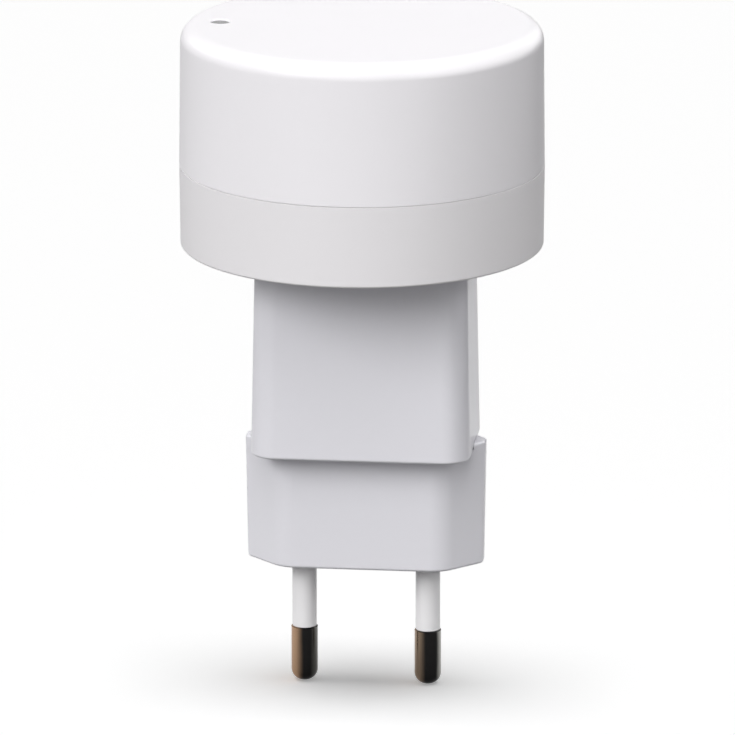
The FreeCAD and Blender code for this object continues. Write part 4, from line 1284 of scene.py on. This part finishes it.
@dataclass
class AdapterBody:
    """The drafted box between the plug and the gateway."""

    finishes: Finishes
    width: float = 32.7
    front: float = 11.4
    back: float = 9.8
    draft: float = 1.1
    wall: float = 1.8
    front_corner: float = 3.9
    back_corner: float = 2.75
    bottom_edge: float = 0.5
    top_edge: float = 0.3
    mouth: tuple[float, float] = (12.5, 5.0)
    mouth_corner: float = 0.3
    rib_width: float = 1.2
    rib_grip: float = 1.0
    rib_clearance: float = 0.1
    rib_sunk: float = 0.8
    rib_corner: float = 0.15
    board_clearance: float = 0.3

    def __post_init__(self) -> None:
        """Reads the body's heights from its CAD node."""
        self.bottom = float(low_of("adapter_body")[2])
        self.top = float(high_of("adapter_body")[2])
        self.middle = (0.0, (self.back - self.front) / 2)
        self.outside = Drafted(0.0, self.bottom, self.draft)

    def half_sizes(self, inset: float) -> tuple[float, float]:
        """Half the width and half the depth of the outline, drawn in by inset."""
        return self.width / 2 - inset, (self.front + self.back) / 2 - inset

    def corner_radii(self, tighter: float) -> tuple[float, float, float, float]:
        """Radii of the upright corners, both at the back first, less what they are tighter by."""
        return (self.back_corner - tighter,) * 2 + (self.front_corner - tighter,) * 2

    def shrink(self, height: float) -> float:
        """How far the drafted wall has drawn in at a height."""
        return -self.outside.at(height)

    def ribs(self) -> list[Surface]:
        """The four upright ribs that guide the board's edges.

        Returns:
            One closed shell for each rib.
        """
        under = self.top - self.wall
        inner_half = self.width / 2 - self.shrink(under) - self.wall
        grip = inner_half - self.board_clearance - self.rib_grip
        heights = (float(high_of("plug_base")[2]), under + SUNK)
        front = low_of("adapter_board")[1] - self.rib_clearance
        back = high_of("adapter_board")[1] + self.rib_clearance
        return [block(sorted((side * grip, side * (inner_half + self.rib_sunk))), depths, heights,
                      self.rib_corner)
                for depths in ((front - self.rib_width, front), (back, back + self.rib_width))
                for side in (-1, 1)]

    def shell(self) -> Surface:
        """The walls: bottom edge, drafted outside, top, mouth, ceiling and inner side.

        Every level is a rounded rectangle. Outside, it is given by its inset from
        the outline at the bottom, its height, and how much tighter its corners are.

        Returns:
            The closed shell.
        """
        under = self.top - self.wall
        below_top = self.top - self.top_edge
        arc = self.outside.rounded(self.bottom_edge, self.bottom + self.bottom_edge, -90.0)
        outside = [(-out, height, -out - self.shrink(height)) for out, height in arc.tolist()]
        outside += [(self.shrink(below_top), below_top, 0.0),
                    (self.shrink(self.top) + self.top_edge, self.top, self.top_edge)]
        rows = [(self.half_sizes(inset), height, self.corner_radii(tighter))
                for inset, height, tighter in outside]
        mouth = (self.mouth[0] / 2, self.mouth[1] / 2)
        rows += [(mouth, height, (self.mouth_corner,) * 4) for height in (self.top, under)]
        rows += [(self.half_sizes(self.shrink(height) + self.wall), height, self.corner_radii(self.wall))
                 for height in (under, self.bottom)]
        halves, heights, radii = (np.array(column) for column in zip(*rows))
        outlines = rounded_outlines(rectangles(self.middle, halves), radii, BODY_CORNER_POINTS)
        return stacked(outlines, heights, True)

    def build(self) -> list[bpy.types.Object]:
        """Builds the body with its ribs, moulded as one."""
        piece = make_piece("adapter_body_shell", "adapter_body", [self.shell(), *self.ribs()])
        return [self.finishes.dress(piece, "adapter_housing")]


@dataclass
class PlugBase:
    """The eight-sided block that carries the pins, with the flange inside the body."""

    finishes: Finishes
    body: AdapterBody
    width: float = 35.4
    depth: float = 13.2
    cut: float = 5.6
    draft: float = 0.9
    face: float = 3.0
    wall: float = 2.0
    long_radius: float = 5.0
    end_radius: float = 1.2
    face_edge: float = 0.5
    shoulder_edge: float = 0.4
    shoulder_steps: int = 6
    cavity_width: float = 25.0
    cavity_cut: float = 1.3
    cavity_corner: float = 0.3
    flange: float = 2.0
    flange_clearance: float = 0.1
    cheek_height: float = 0.9
    cheek_clearance: float = 0.04
    boss_diameter: float = 7.4
    boss_top: float = 7.0
    bore_diameter: float = 4.0

    def __post_init__(self) -> None:
        """Reads the block's heights from its CAD node."""
        self.flange_top = float(high_of("plug_base")[2])
        self.shoulder = self.flange_top - self.flange
        self.outside = Drafted(0.0, 0.0, -self.draft)

    def cuts(self, grown: np.ndarray) -> np.ndarray:
        """Lengths of the cuts once the sides and the cut faces have moved out alike."""
        return self.cut + grown * CUT_GROWTH

    def outlines(self, grown: np.ndarray, rounding: np.ndarray) -> np.ndarray:
        """Outlines of the block at several levels.

        Args:
            grown: levels, how far the sides have moved out.
            rounding: levels, how much smaller the corner radii have become.

        Returns:
            levels x points x 2.
        """
        half = np.stack([self.width / 2 + grown, self.depth / 2 + grown], axis=1)
        corners = cut_rectangles((0.0, 0.0), half, self.cuts(grown))
        end, long = self.end_radius - rounding, self.long_radius - rounding
        return rounded_outlines(corners, np.stack([end, long, long, end] * 2, axis=1))

    def cavity_outlines(self, heights: Sequence[float]) -> np.ndarray:
        """Outlines of the drafted space inside, at several heights.

        Args:
            heights: levels.

        Returns:
            levels x points x 2.
        """
        half = np.array([(self.cavity_width / 2, self.depth / 2 - self.wall + self.outside.at(height))
                         for height in heights])
        corners = cut_rectangles((0.0, 0.0), half, np.full(len(half), self.cavity_cut))
        return rounded_outlines(corners, np.full((len(half), 8), self.cavity_corner))

    def shell(self) -> Surface:
        """Face, rounded face edge, drafted sides up to the body's seat, and the cavity inside.

        Returns:
            The closed shell.
        """
        face_edge = self.outside.rounded(self.face_edge, self.face_edge, -90.0)
        seat = (self.outside.at(self.shoulder), self.shoulder)
        grown, heights = np.concatenate([face_edge, [seat]]).T
        inside = (self.shoulder, self.face)
        outlines = np.concatenate([self.outlines(grown, self.outside.at(heights) - grown),
                                   self.cavity_outlines(inside)])
        return stacked(outlines, np.concatenate([heights, inside]), False)

    def cheeks(self) -> list[Surface]:
        """The two ends of the block that rise beside the body, with rounded upper edges.

        Seen from above, each is the block's outline beyond the side of the slot
        that the body stands in. The slot's side stays where it is at every level.

        Returns:
            The closed shells of the left one and the right one.
        """
        centre_height = self.shoulder + self.cheek_height - self.shoulder_edge
        upper_edge = self.outside.rounded(self.shoulder_edge, centre_height, 90.0, self.shoulder_steps)
        seat = (self.outside.at(self.shoulder), self.shoulder)
        grown, heights = np.concatenate([[seat], upper_edge]).T
        slot = np.full(len(grown), self.body.width / 2 + self.cheek_clearance)
        half = self.width / 2 + grown
        end = self.depth / 2 + grown - self.cuts(grown)
        wide = end + half - slot
        corners = np.stack([slot, -wide, half, -end, half, end, slot, wide], axis=1).reshape(-1, 4, 2)
        rounded = self.end_radius - (self.outside.at(heights) - grown)
        sharp = np.full(len(grown), HAIR)
        radii = np.stack([sharp, rounded, rounded, sharp], axis=1)
        return [stacked(rounded_outlines(corners * side, radii), heights, False) for side in (-1, 1)]

    def flange_ring(self) -> Surface:
        """The flange on the block's top, which closes the body from below.

        Returns:
            The closed shell.
        """
        body = self.body
        corner = body.front_corner - body.wall - self.flange_clearance
        inset = body.shrink(self.flange_top) + body.wall + self.flange_clearance
        half = np.tile(body.half_sizes(inset), (2, 1))
        corners = cut_rectangles(body.middle, half, np.full(2, corner * CUT_GROWTH))
        levels = (self.shoulder, self.flange_top)
        outlines = np.concatenate([rounded_outlines(corners, np.full((2, 8), corner - HAIR)),
                                   self.cavity_outlines(levels[::-1])])
        return stacked(outlines, np.array(levels + levels[::-1]), True)

    def build(self) -> list[bpy.types.Object]:
        """Builds the block with the bosses of its pins, moulded as one.

        Returns:
            The dressed block, alone in a list.
        """
        bosses = [tube(middle_of(node)[:2], self.bore_diameter / 2, self.boss_diameter / 2,
                       self.face - SUNK, self.boss_top) for node in ("pin_left", "pin_right")]
        surfaces = [self.shell(), *self.cheeks(), self.flange_ring(), *bosses]
        piece = make_piece("plug_base_block", "plug_base", surfaces)
        return [self.finishes.dress(piece, "adapter_housing")]


@dataclass
class Pins:
    """Both pins with their insulating sleeves."""

    finishes: Finishes
    diameter: float = 4.0
    shank: float = 3.0
    sleeve: float = 3.68
    sleeve_length: float = 10.8
    sleeve_lip: float = 0.16
    lip_steps: int = 5
    end_chamfer: float = 0.08
    anchor: float = 1.0
    tip_radius: float = 1.75
    tip_steps: int = 14
    collar: float = 5.0
    collar_height: float = 1.2
    root: float = 7.0
    strip: float = 0.4
    rivet: float = 1.6
    rivet_head: float = 2.4
    rivet_height: float = 0.6
    rivet_edge: float = 0.3
    # Painted reflections on the pins: a warm stripe on each pin's left side, and a grey one on its right,
    # paler on the right pin.
    painted_reflections: dict[str, tuple[PaintedReflectionStripe, ...]] = field(default_factory=lambda: {
        "left": (PaintedReflectionStripe((0.4, 0.26, 0.165), -1.5, 0.1), PaintedReflectionStripe((0.1, 0.097, 0.09), 1.95, 1.0)),
        "right": (PaintedReflectionStripe((0.3, 0.22, 0.155), -1.9, 0.0), PaintedReflectionStripe((0.26, 0.255, 0.235), 1.9, 1.35)),
    })

    def pin(self, side: str) -> bpy.types.Object:
        """One pin: rounded tip, metal end, thin shank, collar, root and rivet.

        Args:
            side: left or right.

        Returns:
            The dressed piece.
        """
        node = f"pin_{side}"
        middle, tip = middle_of(node)[:2], float(low_of(node)[2])
        radius, shank, collar = self.diameter / 2, self.shank / 2, self.collar / 2
        rivet, head = self.rivet / 2, self.rivet_head / 2
        metal_end = -self.sleeve_length
        collar_low = self.anchor + self.collar_height / 2
        collar_high = collar_low + self.collar_height
        head_low = self.root + self.strip
        head_high = head_low + self.rivet_height
        rod = Circles(middle)
        rod.run(edge_arc(-90.0, 0.0, self.tip_radius, self.tip_steps)
                + (radius - self.tip_radius, tip + self.tip_radius))
        rod.run([(radius, metal_end - self.end_chamfer), (radius - self.end_chamfer, metal_end),
                 (shank, metal_end), (shank, self.anchor), (radius, self.anchor), (radius, collar_low),
                 (collar, collar_low), (collar, collar_high), (radius, collar_high), (radius, self.root),
                 (rivet, self.root), (rivet, head_low), (head, head_low),
                 (head, head_high - self.rivet_edge), (head - self.rivet_edge, head_high)])
        piece = make_piece(f"{node}_metal", node, [rod.surface(False, headings_round(PIN_POINTS))])
        finish = PinMetal(float(middle[0]), self.painted_reflections[side])
        return self.finishes.dress(piece, "pin_metal", self.finishes.material(f"{node}_metal", finish))

    def sleeve_of(self, side: str) -> bpy.types.Object:
        """One sleeve, a tube with a softly rounded lower lip.

        Args:
            side: left or right.

        Returns:
            The dressed piece.
        """
        node = f"pin_sleeve_{side}"
        outer, inner, low = self.sleeve / 2, self.shank / 2, -self.sleeve_length
        wall = Circles(middle_of(node)[:2])
        wall.run(edge_arc(-90.0, 0.0, self.sleeve_lip, self.lip_steps)
                 + (outer - self.sleeve_lip, low + self.sleeve_lip))
        wall.run([(outer, self.anchor), (inner, self.anchor), (inner, low)])
        piece = make_piece(f"{node}_tube", node, [wall.surface(True, headings_round(PIN_POINTS))])
        return self.finishes.dress(piece, "pin_sleeve")

    def build(self) -> list[bpy.types.Object]:
        """Builds both pins and both sleeves."""
        return [make(side) for side in ("left", "right") for make in (self.pin, self.sleeve_of)]


@dataclass
class InnerParts:
    """The boards and everything on them, whose CAD solids already have the right shape."""

    finishes: Finishes

    def build(self) -> list[bpy.types.Object]:
        """Dresses every CAD node that no new piece has replaced, by its slot in the record.

        Returns:
            The dressed nodes.
        """
        slots = {row["node"]: row["material_slot"] for row in frame["record"]["subparts"]}
        dressed = []
        for name, node in sorted(frame["nodes"].items()):
            if not node.hide_render:
                node.data.materials.clear()
                node.data.materials.append(self.finishes.of_slot(slots[name]))
                log.info("%s: CAD solid, %s", name, slots[name])
                dressed.append(node)
        return dressed


# The studio


def direction(heading: float, elevation: float) -> Vector:
    """Unit vector towards a viewer, at heading 0 in front, at -Y, and at 90 on the right, at +X."""
    turn, rise = np.radians(heading), np.radians(elevation)
    return Vector((np.sin(turn) * np.cos(rise), -np.cos(turn) * np.cos(rise), np.sin(rise)))


def face_target(thing: bpy.types.Object, back: Vector) -> None:
    """Turns a lamp or the camera to look against the direction that it stands in."""
    thing.rotation_euler = (-back).to_track_quat("-Z", "Y").to_euler()


def panel(name: str, corners: Sequence[Sequence[float]], material: bpy.types.Material) -> bpy.types.Object:
    """Makes a flat four-sided panel of the studio.

    Args:
        name: of the object.
        corners: in millimetres, anticlockwise seen from its upper side.
        material: of the panel.

    Returns:
        The object.
    """
    mesh = bpy.data.meshes.new(name)
    mesh.from_pydata((np.array(corners) * MM).tolist(), [], [(0, 1, 2, 3)])
    mesh.materials.append(material)
    made = add_object(name, mesh)
    return made


@dataclass(frozen=True)
class Lamp:
    """A distant soft light, placed by heading and elevation about the object.

    Its strength is the light that falls on a surface that faces it, and spread is
    the angle that the lamp fills, so a low spread casts a crisp shadow.
    """

    name: str
    heading: float
    elevation: float
    spread: float
    strength: float

    def make(self, receivers: bpy.types.Collection) -> None:
        """Makes the light and aims it at the object.

        Args:
            receivers: what it lights.
        """
        data = bpy.data.lights.new(self.name, "SUN")
        data.angle = float(np.radians(self.spread))
        data.energy = self.strength
        lamp = add_object(self.name, data)
        back = direction(self.heading, self.elevation)
        lamp.location = back
        face_target(lamp, back)
        lamp.light_linking.receiver_collection = receivers


@dataclass(frozen=True)
class TableLamp:
    """A long soft box over the table, which lights the floor alone.

    It is long from side to side, so that the shadow of the plug is soft along X
    and closer along Y. Its power makes the floor reflect its level of light.
    """

    height: float = 6000.0
    width: float = 7400.0
    depth: float = 4400.0
    level: float = 0.87

    def make(self, receivers: bpy.types.Collection, blockers: bpy.types.Collection) -> None:
        """Makes the light, straight above the object.

        Args:
            receivers: what it lights.
            blockers: what casts a shadow in its light.
        """
        data = bpy.data.lights.new("table", "AREA")
        data.shape = "RECTANGLE"
        data.size, data.size_y = self.width * MM, self.depth * MM
        data.energy = float(self.level * (np.pi * self.height * MM) ** 2)
        lamp = add_object("table", data)
        lamp.location = (0.0, 0.0, self.height * MM)
        lamp.light_linking.receiver_collection = receivers
        lamp.light_linking.blocker_collection = blockers


@dataclass(frozen=True)
class Card:
    """An upright card beside the object, seen in its gloss alone, which gives its edges a tone."""

    name: str
    low: tuple[float, float, float]
    high: tuple[float, float, float]
    tone: float

    def make(self) -> None:
        """Makes the card, from its lowest corner to its highest."""
        material, sheet = blank_material(self.name)
        sheet.show(sheet.glow(self.tone, 1.0))
        foot, head = (*self.high[:2], self.low[2]), (*self.low[:2], self.high[2])
        card = panel(self.name, (self.low, foot, self.high, head), material)
        card.visible_camera = False
        card.visible_diffuse = False
        card.visible_transmission = False
        card.visible_shadow = False


def light_group(name: str, members: Iterable[bpy.types.Object], state: str) -> bpy.types.Collection:
    """A list of objects that a lamp is linked to, or kept from.

    Args:
        name: of the list.
        members: the objects.
        state: INCLUDE for these alone, or EXCLUDE for all but these.

    Returns:
        The list, as a collection that stands in no scene.
    """
    group = bpy.data.collections.new(name)
    for member in members:
        group.objects.link(member)
    for row in group.collection_objects:
        row.light_linking.link_state = state
    return group


@dataclass
class Studio:
    """Camera, floor, sky, cards and lights."""

    shadow_casters: Sequence[bpy.types.Object]
    target: tuple[float, float, float] = (0.20, 0.02, 29.586)
    heading: float = 6.11
    elevation: float = 15.64
    distance: float = 1200.0
    lens: float = 395.13
    sensor: float = 36.0
    floor_half: float = 6000.0
    floor_shown: float = 1.0
    floor_glow: float = 0.34
    floor_bounce: float = 0.1
    table: TableLamp = field(default_factory=TableLamp)
    cards: tuple[Card, ...] = (
        Card("right_card", (110, -120, -19.2), (110, 400, 84), 0.0),
        Card("left_card", (-110, -120, -19.2), (-110, 400, 110), 0.58),
        Card("back_card", (12, 140, 45), (109, 140, 85), 0.0),
        Card("bright_card", (111, -200, 84), (111, 500, 400), 2.9),
    )
    lamps: tuple[Lamp, ...] = (
        Lamp("key", -40.0, 30.0, 30.0, 1.73),
        Lamp("front_top", 0.0, 62.0, 30.0, 0.58),
        Lamp("front_high", 6.0, 48.0, 30.0, 0.26),
        Lamp("front", 6.0, 35.0, 30.0, 0.32),
        Lamp("front_low", 0.0, 18.0, 30.0, 0.54),
        Lamp("back_left", -120.0, 25.0, 30.0, 0.77),
        Lamp("back", 180.0, 50.0, 40.0, 0.41),
        Lamp("back_right", 110.0, 20.0, 30.0, 0.6),
        Lamp("side", 85.0, 20.0, 30.0, 0.2),
        Lamp("right", 80.0, 25.0, 90.0, 0.61),
    )

    def camera(self) -> None:
        """Puts the camera at the photograph's angle."""
        data = bpy.data.cameras.new("camera")
        data.lens = self.lens
        data.sensor_width = self.sensor
        data.sensor_fit = "HORIZONTAL"
        data.clip_start, data.clip_end = 0.05, 100.0
        made = add_object("camera", data)
        back = direction(self.heading, self.elevation)
        made.location = (Vector(self.target) + back * self.distance) * MM
        face_target(made, back)
        bpy.context.scene.camera = made

    def floor(self) -> bpy.types.Object:
        """A wide pale floor under the pins, white where nothing shades it.

        It is a square that reaches floor_half each way. It returns an even light to
        the object, and from below it is clear, so that the underside can be seen.

        Returns:
            The floor.
        """
        material, sheet = blank_material("floor")
        seen = sheet.seen_directly()
        matt = sheet.node("ShaderNodeBsdfDiffuse", Color=rgba((self.floor_shown,) * 3))
        shown = sheet.numbered("ShaderNodeAddShader", {},
                               {0: matt.outputs[0], 1: sheet.glow(1.0, self.floor_glow).outputs[0]})
        above = sheet.either(seen, sheet.glow(1.0, self.floor_bounce), shown)
        below = sheet.node("ShaderNodeNewGeometry").outputs["Backfacing"]
        sheet.show(sheet.either(below, above, sheet.node("ShaderNodeBsdfTransparent")))
        square = [(x * self.floor_half, y * self.floor_half, cad_low[2] / MM)
                  for x, y in ((-1, -1), (1, -1), (1, 1), (-1, 1))]
        return panel("floor", square, material)

    def sky(self) -> None:
        """White for what looks at it directly, and dark for the rest, which the lamps light."""
        world = bpy.data.worlds.new("studio")
        world.use_nodes = True
        bpy.context.scene.world = world
        world.node_tree.nodes.clear()
        sheet = NodeSheet(world.node_tree)
        seen = sheet.seen_directly()
        back = sheet.node("ShaderNodeBackground", Color=rgba((1.0, 1.0, 1.0)), Strength=seen)
        sheet.show(back, "ShaderNodeOutputWorld")

    def build(self) -> None:
        """Sets up the camera, the floor, the sky, the cards and the lights."""
        bpy.context.scene.view_settings.view_transform = "Standard"
        self.camera()
        floor = self.floor()
        self.sky()
        for card in self.cards:
            card.make()
        object_alone = light_group("all_but_floor", [floor], "EXCLUDE")
        for lamp in self.lamps:
            lamp.make(object_alone)
        self.table.make(light_group("floor_alone", [floor], "INCLUDE"),
                        light_group("shadow_casters", self.shadow_casters, "INCLUDE"))


def main() -> None:
    """Builds the object and its studio, and reports each piece."""
    logging.basicConfig(level=logging.INFO, format="%(message)s")
    finishes = Finishes()
    pieces = Gateway(finishes).build()
    body = AdapterBody(finishes)
    pieces += body.build()
    plug = PlugBase(finishes, body).build() + Pins(finishes).build()
    pieces += plug + InnerParts(finishes).build()
    Studio(plug).build()
    log.info("%d pieces", len(pieces))


if __name__ == "__main__":
    main()
